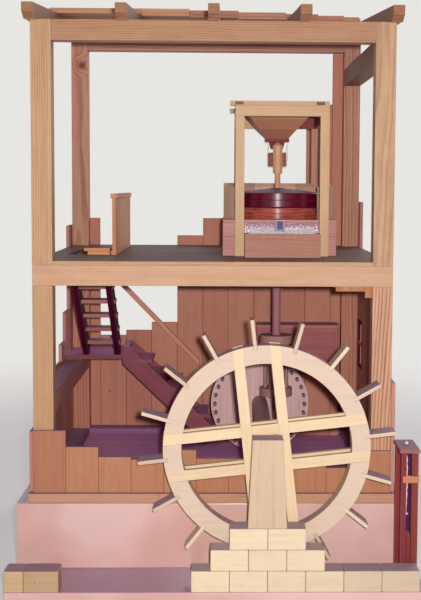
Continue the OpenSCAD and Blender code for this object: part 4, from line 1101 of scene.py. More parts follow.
class MILL_OT_stairs(MillPiece, Operator):
    """Both flights, the slanted bar and the boarded railing."""

    bl_idname = "mill.stairs"
    bl_label = "Stairs and Railing"

    def execute(self, context):
        ease = preset("board_ease")
        # the upper flight climbs towards the front between two strings
        going, depth, tread, nose = 20.3, 28.2, 4.2, 4.0
        rise = (Z_FLOOR - Z_LANDING) / 7
        slope = rise / going
        up = rise - 2.4 * slope
        run, top = 7 * going, 7 * rise
        outline = [
            (0, 0), (0, up), ((top - up) / slope, top), (run, top), (run, top + up - depth),
            ((depth - up) / slope, 0)
        ]
        start = np.array([FLIGHT_X, 251.3, Z_LANDING])
        lean = math.atan(slope)
        shapes = [
            plank(outline, x, x + 6.6, (-Y, Z, -X, start), 0.5, 60 + i, 0.5, lean)
            for i, x in enumerate((0, 37.0))
        ]
        dark = finish("strings", ring=1.8, rings=0.4, tones=0.08, rough=0.6, shine=0.02, film=0.1)
        build("upper_flight_strings", shapes, dark, "upper_flight")
        rows = [
            (
                start + (-43.9, -(k * going + nose), k * rise - tread),
                start + (1.0, -(k - 1) * going, k * rise), "x"
            )
            for k in range(1, 7)
        ]
        rosy = finish("rosy", ring=2.2, rings=0.5, tones=0.1, film=0.6)
        timber("upper_flight_treads", rows, ease, 62, rosy)
        # the lower flight climbs to the left; its treads go through the strings
        going, head_l, wide, out = 16.7, 7.6, 60.0, 10.8
        head = Z_LANDING + 10.2 - Z_GROUND
        rise = (head - tread) / 7
        slope = rise / going
        end, foot = 6 * going + 34.9, out - tread / slope
        outline = [
            (foot, 0), (end - head_l, head), (end, head), (end, slope * (end - out) + tread - depth),
            (foot + depth / slope, 0)
        ]
        start = np.array([25.1, 237.0, Z_GROUND])
        lean = math.atan(slope)
        shapes = [
            plank(outline, x, x + 6.6, (-X, Z, Y, start), 0.5, 64 + j, 0.4, lean)
            for j, x in enumerate((0, wide - 6.6))
        ]
        rows = [
            (
                start + (-((k + 1) * going + nose), -1.2, k * rise),
                start + (-k * going, wide + 1.2, k * rise + tread), "y"
            )
            for k in range(7)
        ]
        rows.append((start + (-end, 6.6, head - tread), start + (head_l - end, wide - 6.6, head), "y"))
        # painted shade: the lower flight's tops take the lower floor's mauve
        flight = finish("flight", ring=2.2, rings=0.5, tones=0.1, film=0.6, dust="ground")
        shapes.append(boxes(rows, ease, 66))
        build("lower_flight_timber", shapes, flight, "lower_flight")
        fall = 1.03 * 126
        outline = [(-146, Z_BEAM), (-137.6, Z_BEAM), (-20, Z_BEAM - fall + 8.4), (-20, Z_BEAM - fall)]
        bar = plank(outline, -DEPTH, 6 - DEPTH, (X, Z, -Y), 0.6, 67, 0.8, -math.atan(1.03))
        tan = finish("railing", ring=2.8, rings=0.5, tones=0.12, ends=-0.5)
        build("handrail_bar", [bar], wall_wood("handrail"), "handrail")
        low, high = place("stair_railing")
        x, y0, y1 = -109.0, 103.8, IN_D - 10
        edges = np.linspace(y0, y1, 9)
        rows = [((x, a + 0.15, low[2] + 1), (x + 4, b - 0.15, high[2] - 3), "z") for a, b in pairs(edges)]
        rows += [
            ((x - 1.5, y0 - 1.5, high[2] - 5), (x + 5.5, y1, high[2]), "y"),
            ((x - 1.5, y0, low[2]), (x + 4.1, y1, low[2] + 5), "y"),
            ((-135.3, 103.2, low[2]), (-111.5, 108.2, low[2] + 3.9), "x"),
            ((-139.3, 102.7, low[2] + 3.9), (-111.5, 108.7, low[2] + 7.4), "x")
        ]
        timber("railing_boards", rows, ease, 68, tan, "stair_railing")
        return {"FINISHED"}


FRONT_TOPS = [62.4, 46.1, 36.1, 33.6, 43.2, 34.6, 34.4, 29.6, 29.4, 25.1, 42.4]
FRONT_TONES = [0.05, 0.5, 0.6, 0.45, 0.65, 0.4, 0.5, 0.6, 0.45, 0.55, 0.5]
WALL_KNOTS = [(-47.2, 189.0, 158.5, 2.6), (-138.5, 189.0, 136.4, 1.6)]
BACK_TONES = [0.5, 0.6, 0.1, 0.8, 0.6, 0.45, 0.7, 0.55, 0.3, 0.5, 0.6]
BACK_TOPS = [263.4, 115.4, 121.9, 132.1, 242, 263.8, 268, 272, 265, 406.4, 468.9]
LEFT_TOPS = [61, 84, 99.5, 118.9, 152.9, 255]
LEFT_EDGES = [0, 90, 150, 203, 238, 274, 320]
RIGHT_TOPS = [110, 122, 141, 163, 184, 206]
RIGHT_EDGES = [0, 32, 68, 104, 140, 172, 204]


class MILL_OT_walls(MillPiece, Operator):
    """Upright wall boards of unlike heights, with an open joint between neighbours."""

    bl_idname = "mill.walls"
    bl_label = "Walls"

    def execute(self, context):
        gap = preset("joint") / 2
        ease = preset("board_ease")
        edges = -HALF_W + BOARD_W * np.arange(BOARD_N + 1)
        front = finish(
            "front", ring=4.4, rings=0.2, streaks=0.6, fibre=0.3, tones=0.1, cloud=0.5, ends=-0.6
        )

        def upright(side, at, edges, tops):
            """Boards of a wall that runs across the house (side 0) or along it (1), from a place on."""
            low, high = np.full((len(tops), 3), Z_SILL), np.full((len(tops), 3), Z_SILL)
            low[:, side], high[:, side] = np.array(edges[:-1]) + gap, np.array(edges[1:]) - gap
            low[:, 1 - side], high[:, 1 - side] = at, at + BOARD_T
            high[:, 2] += tops
            return [(a, b, "z") for a, b in zip(low, high)]

        rows = upright(0, -BOARD_T, edges, FRONT_TOPS)
        timber("front_boards", rows, ease, 71, front, "front_wall", tones=FRONT_TONES)
        rows = [
            ((IN_W - 36.5, 0, Z_BEAM - 4.7), (IN_W - 7.5 - gap, BOARD_T, Z_BEAM), "z"),
            ((IN_W - 7.5, 0, Z_BEAM - 11), (IN_W, BOARD_T, Z_BEAM), "z")
        ]
        torn = wood(
            "mill_torn_ends", chosen("front"), late=chosen("torn_late"), ring=1.3, rings=0.8, fibre=0.8
        )
        timber("torn_board_ends", rows, ease, 78, torn)
        # the side walls take the side colour, whose mauve cast is painted shade
        wall, side = wall_wood(knots=WALL_KNOTS), wall_wood("side")
        rows = upright(0, DEPTH, edges, BACK_TOPS)
        timber("back_boards", rows, 0.5, 72, wall, "back_wall", tones=BACK_TONES)
        rows = upright(1, -HALF_W - BOARD_T, LEFT_EDGES, LEFT_TOPS)
        # the third board has a small opening beside the fourth
        a, b, top = LEFT_EDGES[2] + gap, LEFT_EDGES[3] - gap, LEFT_TOPS[2]
        outline = [(a, 0), (b, 0), (b, 51.4), (160, 51.4), (160, 74.9), (b, 74.9), (b, top), (a, top)]
        del rows[2]
        sides = (Y, Z, X, (0, 0, Z_SILL))
        pierced = plank(outline, -HALF_W - BOARD_T, -HALF_W, sides, ease, 79, None, math.pi / 2)
        build("left_boards", [boxes(rows, ease, 73), pierced], side, "left_wall")
        low, high = place("window_frame")
        y0, y1 = low[1], high[1]
        z0, z1 = low[2] - Z_SILL, high[2] - Z_SILL
        shapes = [boxes(upright(1, HALF_W, RIGHT_EDGES, RIGHT_TOPS), ease, 74)]
        # the two boards beside the window are notched for it
        notched = (204 + gap, 288 - gap, y0, 226.1), (320, 288 + gap, y1, 285.4)
        for j, (far, near, notch, top) in enumerate(notched):
            outline = [
                (far, 0), (near, 0), (near, z0), (notch, z0), (notch, z1), (near, z1), (near, top),
                (far, top)
            ]
            if far > near:
                outline = outline[1::-1] + outline[:1:-1]  # so that both run the same way round
            shapes.append(plank(outline, HALF_W, HALF_W + BOARD_T, sides, ease, 75 + j, None, math.pi / 2))
        build("right_boards", shapes, side, "right_wall")
        bar = 4.5
        x0, x1 = low[0], high[0]
        mid_y, mid_z = (y0 + y1) / 2, (low[2] + high[2]) / 2
        rows = [
            ((x0, y0, low[2]), (x1, y0 + bar, high[2]), "z"),
            ((x0, y1 - bar, low[2]), (x1, y1, high[2]), "z"),
            ((x0, y0 + bar, low[2]), (x1, y1 - bar, low[2] + bar), "y"),
            ((x0, y0 + bar, high[2] - bar), (x1, y1 - bar, high[2]), "y"),
            ((x0 + 0.5, mid_y - 2.25, low[2] + bar), (x1 - 0.5, mid_y + 2.25, high[2] - bar), "z"),
            ((x0 + 0.6, y0 + bar, mid_z - 2.25), (x1 - 0.6, mid_y - 2.25, mid_z + 2.25), "y"),
            ((x0 + 0.6, mid_y + 2.25, mid_z - 2.25), (x1 - 0.6, y1 - bar, mid_z + 2.25), "y")
        ]
        timber("window_sash", rows[:4], 0.5, 77, finish("strings"), "window_frame")
        sash = finish("sash", ring=1.8, rings=0.4, tones=0.08)
        timber("window_bars", rows[4:], 0.5, 70, sash)
        return {"FINISHED"}


class MILL_OT_chest(MillPiece, Operator):
    """Framed chest against the back wall, on a boarded lower part like the wall."""

    bl_idname = "mill.chest"
    bl_label = "Chest"

    def execute(self, context):
        low, high = place("meal_chest")
        (x0, y0, z0), (x1, y1, z1) = low, high
        side, lid = 6.0, 3.6
        # upright boards below, with the joints that show through the wheel
        foot, z0 = z0, z1 - 62.0
        cuts = [x0, 80.5, 111.3, 143.1, x1]
        rows = []
        for a, b in pairs(cuts):
            for low_z, high_z, back in ((Z_SILL, z0 - 0.1, y1), (foot, Z_SILL, IN_D)):
                rows.append(((a + 0.05, y0 + 3, low_z), (b - 0.05, back, high_z), "z"))
        timber("chest_lower_boards", rows, 0.4, 82, wall_wood(), "meal_chest")
        rows = [
            ((x0 + 1, y0 + 3, z0), (x1 - 1, y1, z1 - lid), "x"),
            ((x0, y0, z0), (x0 + side, y0 + 14, z1 - lid), "z"),
            ((x1 - side, y0, z0), (x1, y0 + 14, z1 - lid), "z"),
            ((x0 + side, y0, z0), (x1 - side, y0 + 5, z0 + side), "x"),
            ((x0 + side, y0, z1 - lid - side), (x1 - side, y0 + 5, z1 - lid), "x"),
            ((x0, y0, z1 - lid), (x1, y1, z1), "x")
        ]
        red = finish("chest", rings=0.8, streaks=0.9, tones=0.3)
        tones = [0.45, 0.5, 0.5, 0.45, 0.5, 0.75]
        timber("chest_timber", rows, 0.5, 81, red, "meal_chest", tones=tones)
        return {"FINISHED"}


# ---- pieces of the mill


# half a side of an octagon for each millimetre from its middle
CORNER = math.tan(math.pi / 8)


def octagon_board(k, low, high, seed, tone=None):
    """One mitred board of the eight sided casing, the k-th from the right going round."""
    turn = k * math.pi / 4
    out = np.array([math.cos(turn), math.sin(turn), 0])
    side = np.array([-math.sin(turn), math.cos(turn), 0])
    outer, inner = CASING_W / 2, CASING_W / 2 - CASING_T
    reach, reach_in = outer * CORNER - 0.05, inner * CORNER - 0.05
    outline = [(-reach_in, inner), (-reach, outer), (reach, outer), (reach_in, inner)]
    return plank(outline, low, high, (side, out, Z, STONE), 0.35, seed, tone).endwise()


class MILL_OT_stones(MillPiece, Operator):
    """Box with meal bin and spout, casing boards, and the two varnished stones."""

    bl_idname = "mill.stones"
    bl_label = "Stones"

    def execute(self, context):
        ease = preset("board_ease")
        (x0, bin_y, z0), (x1, y1, z1) = place("stone_box")
        y0 = 100.0
        mid = z0 + 20.5
        rows = [
            ((x0, y0, z0), (x1, y0 + 4, mid - 0.1), "x"),
            ((x0, y0, mid + 0.1), (BIN_X0, y0 + 4, z1 - 3), "x"),
            ((BIN_X1, y0, mid + 0.1), (x1, y0 + 4, z1 - 3), "x"), ((x0, y1 - 4, z0), (x1, y1, z1 - 3), "x"),
            ((x0, y0 + 4, z0), (x0 + 4, y1 - 4, z1 - 3), "y"),
            ((x1 - 4, y0 + 4, z0), (x1, y1 - 4, z1 - 3), "y"), ((x0, y0, z1 - 3), (x1, y1, z1), "x")
        ]
        box = finish("box", ring=3.0, rings=0.45, tones=0.1)
        timber("stone_box_boards", rows, ease, 91, box, "stone_box")
        rows = [((BIN_X0, y0, mid + 0.1), (BIN_X1, y0 + 4, z1 - 3), "x")]
        dusty = (ORIGIN[2] + 331.5, ORIGIN[2] + 340.5)
        floury = wood("mill_floury_board", chosen("box"), ring=3.0, rings=0.45, tones=0.0, dusty=dusty)
        timber("floury_board", rows, ease, 98, floury)
        warm = finish("bin", ring=3.0, rings=0.45, tones=0.1)
        bz = 329.4
        rows = [
            ((BIN_X0, bin_y, z0), (BIN_X1, bin_y + 4, bz), "x"),
            ((BIN_X0, bin_y + 4, z0), (BIN_X0 + 4, y0, bz), "y"),
            ((BIN_X1 - 4, bin_y + 4, z0), (BIN_X1, y0, bz), "y"),
            ((BIN_X0 + 4, bin_y + 4, z0), (BIN_X1 - 4, y0, z0 + 4), "x")
        ]
        timber("meal_bin_boards", rows, ease, 92, warm)
        rows = [
            ((64.8, 93, 330.4), (66.8, 98.6, 342.1), "z"), ((72.8, 93, 330.4), (74.8, 98.6, 342.1), "z"),
            ((66.8, 93.4, 330.4), (72.8, 98.6, 333.0), "x")
        ]
        chute = finish("chute", ring=1.2, rings=0.3, tones=0.05, rough=0.4, coat=0.3)
        timber("meal_chute", rows, 0.5, 93, chute)
        # painted shade: a dark plate behind the chute, for the shade inside it
        rows = [((64.8, 98.6, 330.4), (74.8, 100, 342.7), "z")]
        shade = finish("chute_dark", ring=1.2, rings=0.3, tones=0.05, rough=0.4, cloud=0.6)
        timber("chute_back", rows, 0.2, 96, shade)
        dust = white_meal("mill_meal", chosen("meal"))
        rows = [((64.8, 93, 342.1), (74.8, 98.6, 342.7), "x")]
        timber("chute_dust", rows, 0.25, 97, dust)
        meal = self.meal_heap(BIN_X0 + 4, BIN_X1 - 4, bin_y + 4, y0, z0 + 4, bz)
        build("meal_heap", [meal], dust)
        low, high = place("stone_casing")
        rim = low[2] + 35.6
        shapes = [octagon_board(k, low[2], rim, 94 + k) for k in (1, 2, 3)]
        inner = finish("inner", ring=2.4, rings=0.5, streaks=0.6, tones=0.12)
        build("casing_rear_boards", shapes, inner)
        shapes = [octagon_board(k, low[2], rim, 94 + k) for k in (0, 4)]
        shapes += [self.cheek(side, low[2], rim) for side in (-1, 1)]
        casing = finish("casing", ring=2.4, rings=0.5, streaks=0.6, tones=0.12)
        build("casing_boards", shapes, casing, "stone_casing")
        shapes = [octagon_board(k, rim, high[2], 104 + k, 0.9) for k in (1, 2, 3)]
        shapes += [self.half_rim(side, rim, high[2]) for side in (-1, 1)]
        strip = finish("strip", ring=5.0, rings=0.4, fibre=0.2, rough=0.55)
        build("casing_rim", shapes, strip)
        low, high = place("bedstone")
        r, z0, z1 = 50.0, low[2], high[2]
        profile = [(5.5, z0), (r - 0.8, z0), (r, z0 + 0.8), (r, z0 + 5.6), (r - 0.35, z0 + 6.0)]
        profile += [(r - 0.35, z0 + 6.3), (r, z0 + 6.7), (r, z1 - 0.8), (r - 0.8, z1), (5.5, z1)]
        stone = turned(profile, STONE, Z, 128, True, 110, 0.5, True)
        bed = finish(
            "bed", late=chosen("bed_late"), ring=4.0, rings=0.6, streaks=0.9, fibre=0.4, rough=0.3,
            coat=0.15, coat_rough=0.2
        )
        build("bedstone_disc", [stone], bed, "bedstone")
        low, high = place("runner_stone")
        z0, z1 = low[2], high[2]
        edge = z1 - 5.6
        profile = [(4.5, z0), (r - 0.8, z0), (r, z0 + 0.8), (r, z0 + 7.4), (r - 0.4, z0 + 7.8)]
        profile += [(r - 0.4, z0 + 8.1), (r, z0 + 8.5), (r, edge - 0.3), (r - 0.6, edge + 0.35)]
        profile += [(34, edge + 2.1), (20, edge + 3.8), (8.2, z1 - 0.5), (7.5, z1), (4.5, z1)]
        stone = turned(profile, STONE, Z, 128, True, 111, 0.5, True)
        dark = finish(
            "runner", ring=2.2, rings=0.4, tones=0.05, rough=0.4, coat=0.3, coat_rough=0.24, film=0.35
        )
        build("runner_disc", [stone], dark, "runner_stone", "stone_spindle")
        return {"FINISHED"}

    @staticmethod
    def cheek(side, low, high):
        """Slanted casing board in front, cut short where the casing is open."""
        outer, inner, cut = CASING_W / 2, CASING_W / 2 - CASING_T, 41.0
        outline = [(outer, -outer * CORNER), (cut, cut - outer * math.sqrt(2))]
        outline += [(cut, cut - inner * math.sqrt(2)), (inner, -inner * CORNER)]
        outline = np.array(outline) * (side, 1)
        return plank(outline, low, high, (X, Y, Z, STONE), 0.35, 101 + side).endwise()

    @staticmethod
    def half_rim(side, low, high):
        """Rim strip on the rear half of a side board."""
        outer, inner = CASING_W / 2, CASING_W / 2 - CASING_T
        outline = [(outer, 0), (outer, outer * CORNER), (inner, inner * CORNER), (inner, 0)]
        outline = np.array(outline) * (side, 1)
        return plank(outline, low, high, (X, Y, Z, STONE), 0.3, 108 + side, 0.9, math.pi / 2)

    @staticmethod
    def meal_heap(x0, x1, y0, y1, low, rim):
        """Meal in its bin: a field of heights over the floor of the bin.

        The height rises towards the back with the square of the depth, times a wave along the
        bin, and sums of sines with seeded phases and a little noise make the crumbs.
        """
        rows, cols = 48, 120
        x, y = np.meshgrid(np.linspace(x0, x1, cols), np.linspace(y0, y1, rows))
        rng = np.random.default_rng(95)
        heap = preset("meal")
        deep = (y - y0) / (y1 - y0)
        along = (x - x0) / (x1 - x0)
        ridge = 0.55 + 0.35 * np.sin(7.5 * along + 0.4) * along + 0.45 * np.sin(math.pi * along) ** 0.7
        z = rim - 4.6 + (heap + 5.0) * deep**1.6 * ridge
        for wave, size in ((0.3, 0.55), (0.7, 0.5), (1.5, 0.35), (2.6, 0.2)):
            turn, shift = rng.uniform(0, 6.28, 2)
            across = x * math.cos(turn) + y * math.sin(turn)
            back = y * math.cos(turn) - x * math.sin(turn)
            z = z + size * np.sin(wave * across + shift) * np.sin(wave * 1.3 * back - shift)
        z = z + rng.normal(0, 0.2, z.shape)
        top = np.stack([x, y, z], -1)
        floor = np.stack([x, y, np.full_like(z, low)], -1)
        points = np.concatenate([top, floor])
        row, col = np.meshgrid(np.arange(rows - 1), np.arange(cols - 1), indexing="ij")
        a = row * cols + col
        quads = np.stack([a, a + 1, a + cols + 1, a + cols], -1).reshape(-1, 4)
        below = rows * cols
        under = quads[:, ::-1] + below
        loop = np.concatenate(
            [
                np.arange(cols), np.arange(1, rows) * cols + cols - 1,
                (rows - 1) * cols + np.arange(cols - 2, -1, -1), np.arange(rows - 2, 0, -1) * cols
            ]
        )
        ahead = np.roll(loop, -1)
        sides = np.stack([loop, loop + below, ahead + below, ahead], -1)
        return Shape(points, np.concatenate([quads, under, sides]), [], points, 0.5, 0.0, True)


def hang(piece, path, radius, far_end, **more):
    """Takes a string that runs along a path and does nothing with it; the string is as long as the path."""
    2 * radius / 1000


class MILL_OT_hopper(MillPiece, Operator):
    """Hopper in its frame, and the shoe hung under it on two white strings."""

    bl_idname = "mill.hopper"
    bl_label = "Hopper"

    def execute(self, context):
        ease = preset("board_ease")
        low, high = place("hopper_frame")
        post, strip = 9.6, 5.1
        x0, x1 = low[0] + 5.6, high[0]
        y0, y1 = low[1], high[1]
        z0, top = low[2], high[2]
        rail = top - strip
        head = rail - 10.7
        side = post - 2.8
        # painted shade: the rear posts take the darker rear pine, not the frame's yellow pine
        rows = [((x, y1 - post, z0), (x + post, y1, head - 7), "z") for x in (x0, x1 - post)]
        timber("hopper_rear_posts", rows, ease, 120, pine("rear"))
        rows = [((x, y0, z0), (x + post, y0 + post, head), "z") for x in (x0, x1 - post)]
        rows += [
            ((x0, y0, head), (x1, y0 + post, rail), "x"),
            ((x0, y1 - post + 1.5, head - 7), (x1, y1, rail), "x"),
            ((x0, y1 - post, head - 7), ((x0 + x1) / 2, y1 - post + 1.5, rail), "x"),
            ((low[0], y0, rail), (x1, y0 + post, top), "x"),
            ((low[0], y1 - post, rail), (x1, y1, top), "x"),
            ((x0, y0 + post, head - 7), (x0 + side, y1 - post, top), "y"),
            ((x1 - side + 1.5, y0 + post, head - 7), (x1, y1 - post, top), "y")
        ]
        yellow = finish("hopper_frame", ring=1.5, rings=0.5, tones=0.09, rough=0.45)
        # painted shade: the tones darken the rear rails and the side rails, the right one most
        tones = [0.55, 0.6, 0.5, 0.3, 0.3, 0.45, 0.35, 0.2, 0.1]
        timber("hopper_frame_timber", rows, ease, 121, yellow, "hopper_frame", tones=tones)
        # painted shade: dark skins on the right half of the rear rail's front and on the right side rail's
        # inner face
        rows = [
            (((x0 + x1) / 2, y1 - post, head - 7), (x1 - side, y1 - post + 1.5, rail), "x"),
            ((x1 - side, y0 + post, head - 7), (x1 - side + 1.5, y1 - post, top), "y")
        ]
        dark = finish("band", ring=2.0, rings=0.4, tones=0.06, film=0.2)
        timber("hopper_rail_skins", rows, 0.3, 123, dark)
        rows = [
            ((x, y0 - 0.15, rail + 0.9), (x + 8.8, y0 + 4, top - 0.7), "y") for x in (x0 - 0.4, x1 - 14)
        ]
        end = finish("hopper_end", ring=1.2, rings=0.5, tones=0.05, rough=0.6)
        timber("rim_end_grain", rows, 0.2, 122, end)
        self.funnel()
        self.shoe()
        return {"FINISHED"}

    @staticmethod
    def funnel():
        """Four slopes, each of three boards, a collar above, a band and a spout below."""
        low, high = place("hopper")
        mid_x, mouth = (low[0] + high[0]) / 2, (high[0] - low[0]) / 2
        y0, y1, top = low[1], high[1], high[2]
        throat_z, throat, throat_y = low[2] + 11.5, 12.7, 179.3
        band, band_z = 13.5, low[2] + 8.0
        rise = top - 6 - throat_z
        shapes = []
        foot = (mid_x, throat_y, throat_z)
        far, near = y1 - throat_y, throat_y - y0
        # across, out, reach, and half widths of the mouth to the left and right
        for n, (across, out, reach, left, right) in enumerate(
            (
                (X, Y, far - throat, mouth, mouth),
                (-X, -Y, near - throat, mouth, mouth),
                (-Y, X, mouth - throat, near, far),
                (Y, -X, mouth - throat, near, near),
            )
        ):
            shapes += MILL_OT_hopper.slope(across, out, foot, reach, rise, throat, left, right, 130 + 5 * n)
        rows = [
            ((mid_x - mouth, y0, top - 6), (mid_x + mouth, y0 + 3, top), "x"),
            ((mid_x - mouth, y1 - 3, top - 6), (mid_x + mouth, y1, top), "x"),
            ((mid_x - mouth, y0 + 3, top - 6), (mid_x - mouth + 3, y1 - 3, top), "y"),
            ((mid_x + mouth - 3, y0 + 3, top - 6), (mid_x + mouth, y1 - 3, top), "y")
        ]
        hole = 4.5
        rows += MILL_OT_hopper.square_ring((mid_x, throat_y), throat, hole, throat_z, throat_z + 3)
        shapes.append(boxes(rows, 0.3, 129))
        brown = finish("hopper", ring=2.0, rings=0.6, streaks=0.6, tones=0.1)
        build("hopper_boards", shapes, brown, "hopper")
        rows = MILL_OT_hopper.square_ring((mid_x, throat_y), band, hole, band_z, throat_z)
        shapes = [boxes(rows, 0.4, 128)]
        # the spout's cheeks lean in; the front and back ones stand between the other two
        under, foot = 8.9, 6.7
        middle = np.array([mid_x, throat_y, 0])
        outline = [(foot, low[2]), (under, band_z), (hole, band_z), (hole, low[2])]
        for n, (side, out) in enumerate(((X, Y), (X, -Y), (Y, X), (Y, -X))):
            reach = foot if n < 2 else hole
            cheek = plank(outline, -reach, reach, (out, Z, side, middle), 0.25, 124 + n)
            if n < 2:
                spread = (under / foot - 1) * (cheek.points[:, 2] - low[2]) / (band_z - low[2])
                along = (cheek.points - middle) @ side
                cheek.points = cheek.points + (along * spread)[:, None] * side
            shapes.append(cheek)
        build("hopper_spout", shapes, finish("band"))

    @staticmethod
    def square_ring(middle, half, hole, low, high):
        """Corners of four boards that frame a square hole."""
        x, y = middle
        return [
            ((x - half, y - half, low), (x + half, y - hole, high), "x"),
            ((x - half, y + hole, low), (x + half, y + half, high), "x"),
            ((x - half, y - hole, low), (x - hole, y + hole, high), "x"),
            ((x + hole, y - hole, low), (x + half, y + hole, high), "x")
        ]

    @staticmethod
    def slope(across, out, foot, reach, rise, throat, left, right, seed):
        """One slope of the funnel, cut into strips by two joints.

        Its plane leans outwards from the throat; the strip's ends lie on the lines from the
        corners of the throat to the corners of the mouth.
        """
        foot = np.array(foot) + throat * out
        lean = out * reach + rise * Z
        length = np.linalg.norm(lean)
        lean = lean / length
        normal = np.cross(across, lean)
        thick = (0.0, 3.0) if normal[2] > 0 else (-3.0, 0.0)
        made = []
        for k, (a, b) in enumerate(pairs([0, 0.36, 0.7, 1.0])):
            t = np.array([a, a, b - 0.006, b - 0.006])
            reach = throat + (np.array([left, right, right, left]) - throat) * t
            outline = np.stack([reach * (-1, 1, 1, -1), t * length], -1)
            made.append(plank(outline, *thick, (across, lean, normal, foot), 0.25, seed + k))
        return made

    @staticmethod
    def shoe():
        """Open tray with its two strings, which bow outwards on their way up."""
        low, high = place("shoe")
        mid = (low[0] + high[0]) / 2
        half, wall, thick = 9.8, 2.4, 15.3
        y0, y1, z0 = low[1], high[1], low[2]
        z1 = z0 + thick
        rows = [
            ((mid - half, y0, z0), (mid + half, y1, z0 + wall), "y"),
            ((mid - half, y0, z0 + wall), (mid + half, y0 + wall, z1), "x"),
            ((mid - half, y1 - wall, z0 + wall), (mid + half, y1, z1), "x"),
            ((mid - half, y0 + wall, z0 + wall), (mid - half + wall, y1 - wall, z1), "y"),
            ((mid + half - wall, y0 + wall, z0 + wall), (mid + half, y1 - wall, z1), "y")
        ]
        orange = finish("shoe", rings=0.4, tones=0.08, film=0.2)
        timber("shoe_tray", rows, 0.4, 151, orange, "shoe")
        radius, bow = preset("string") / 2, preset("bow")
        white = cotton("mill_string", chosen("string"))
        # how far each string stands out from the tray's side, and its height over the tray's foot
        down = [(0.5, 2.0), (-0.2, -0.2), (-1.8, -1.0), (-3.8, -0.9), (-5.8, -0.6)]
        left = [(bow, 27.5), (0.6, 24.7), (-0.4, 21.2), (-0.2, 18.0), (0.3, 14.8), (0.5, 10.0), (0.5, 5.5)]
        right = [(bow, 27.5), (1.4, 24.7), (0.6, 21.8), (0.7, 17.8), (1.3, 13.8), (1.2, 9.4), (0.8, 5.2)]
        y = (y0 + y1) / 2
        for name, side, upper in (("shoe_string_left", -1, left), ("shoe_string_right", 1, right)):
            stand, up = smooth_path(np.array(upper + down)).T
            path = np.stack([mid + side * (half + radius + stand), np.full(len(up), y), z0 + up], -1)
            hang(build(name, [cordage(path, radius)], white), path, radius, "object")


# ---- pieces of the drive


def wheel_turn(degrees):
    """Turning matrix about the wheel's axis, to the left seen from the front."""
    a = math.radians(degrees)
    return np.array([[math.cos(a), 0, -math.sin(a)], [0, 1, 0], [math.sin(a), 0, math.cos(a)]])


class MILL_OT_wheel(MillPiece, Operator):
    """Rim, clasp arms let into it, and floats let into its slots."""

    bl_idname = "mill.wheel"
    bl_label = "Water Wheel"

    def execute(self, context):
        rim = finish("rim", ring=7.0, rings=0.12, streaks=0.25, fibre=0.12, rough=0.55, axis="x")
        dress("wheel_rim", rim)
        lean = wheel_turn(6.2)
        shapes = self.clasp_layer(99.0, 44.0, 0.3, 160) + self.clasp_layer(99.9, 27.5, 0.0, 170)
        shapes = [s.moved(lean, WHEEL) for s in shapes]
        arms = finish("arms", ring=3.6, rings=0.2, streaks=0.3, fibre=0.15, tones=0.04, film=0.1)
        build("clasp_arm_timber", shapes, arms, "wheel_arms", "water_wheel")
        floats = []
        for k in range(16):
            row = [((-1.8, -50, 94.7), (1.8, -26, 123.9), "z")]
            floats.append(boxes(row, 0.35, 180 + k).moved(wheel_turn(6.8 + 22.5 * k), WHEEL))
        pale = finish(
            "rim", ring=3.0, rings=0.35, streaks=0.4, fibre=0.2, tones=0.12, rough=0.55, ends=-0.3
        )
        build("float_boards", floats, pale, "wheel_floats", "water_wheel")
        return {"FINISHED"}

    @staticmethod
    def clasp_layer(reach, behind, sink, seed):
        """Two upright arms and the pieces of two level ones between and beside them.

        The ends are arcs of the reach: the height at x is the root of reach squared less x
        squared. The level pieces lie sink deeper than the upright ones.
        """
        off, half, thick = 17.8, 5.1, 6.0
        shapes = []
        for k, side in enumerate((-1, 1)):
            x = np.linspace(side * off - half, side * off + half, 7)
            arc = np.sqrt(reach**2 - x**2)
            outline = np.concatenate([np.stack([x, -arc], -1), np.stack([x, arc], -1)[::-1]])
            frame_axes = (X, Z, -Y)
            shapes.append(
                plank(outline, behind, behind + thick, frame_axes, 0.35, seed + k, None, math.pi / 2)
            )
            level = (-reach, -off - half), (half - off, off - half), (off + half, reach)
            for j, (a, b) in enumerate(level):
                ends = [
                    np.stack(
                        [np.sign(end) * arc, x], -1
                    ) if abs(end) == reach else np.array([(end, x[0]), (end, x[-1])])
                    for end in (a, b)
                ]
                outline = np.concatenate([ends[1], ends[0][::-1]])
                shapes.append(
                    plank(outline, behind, behind + thick - sink, frame_axes, 0.35, seed + 2 + 3 * k + j)
                )
        return shapes


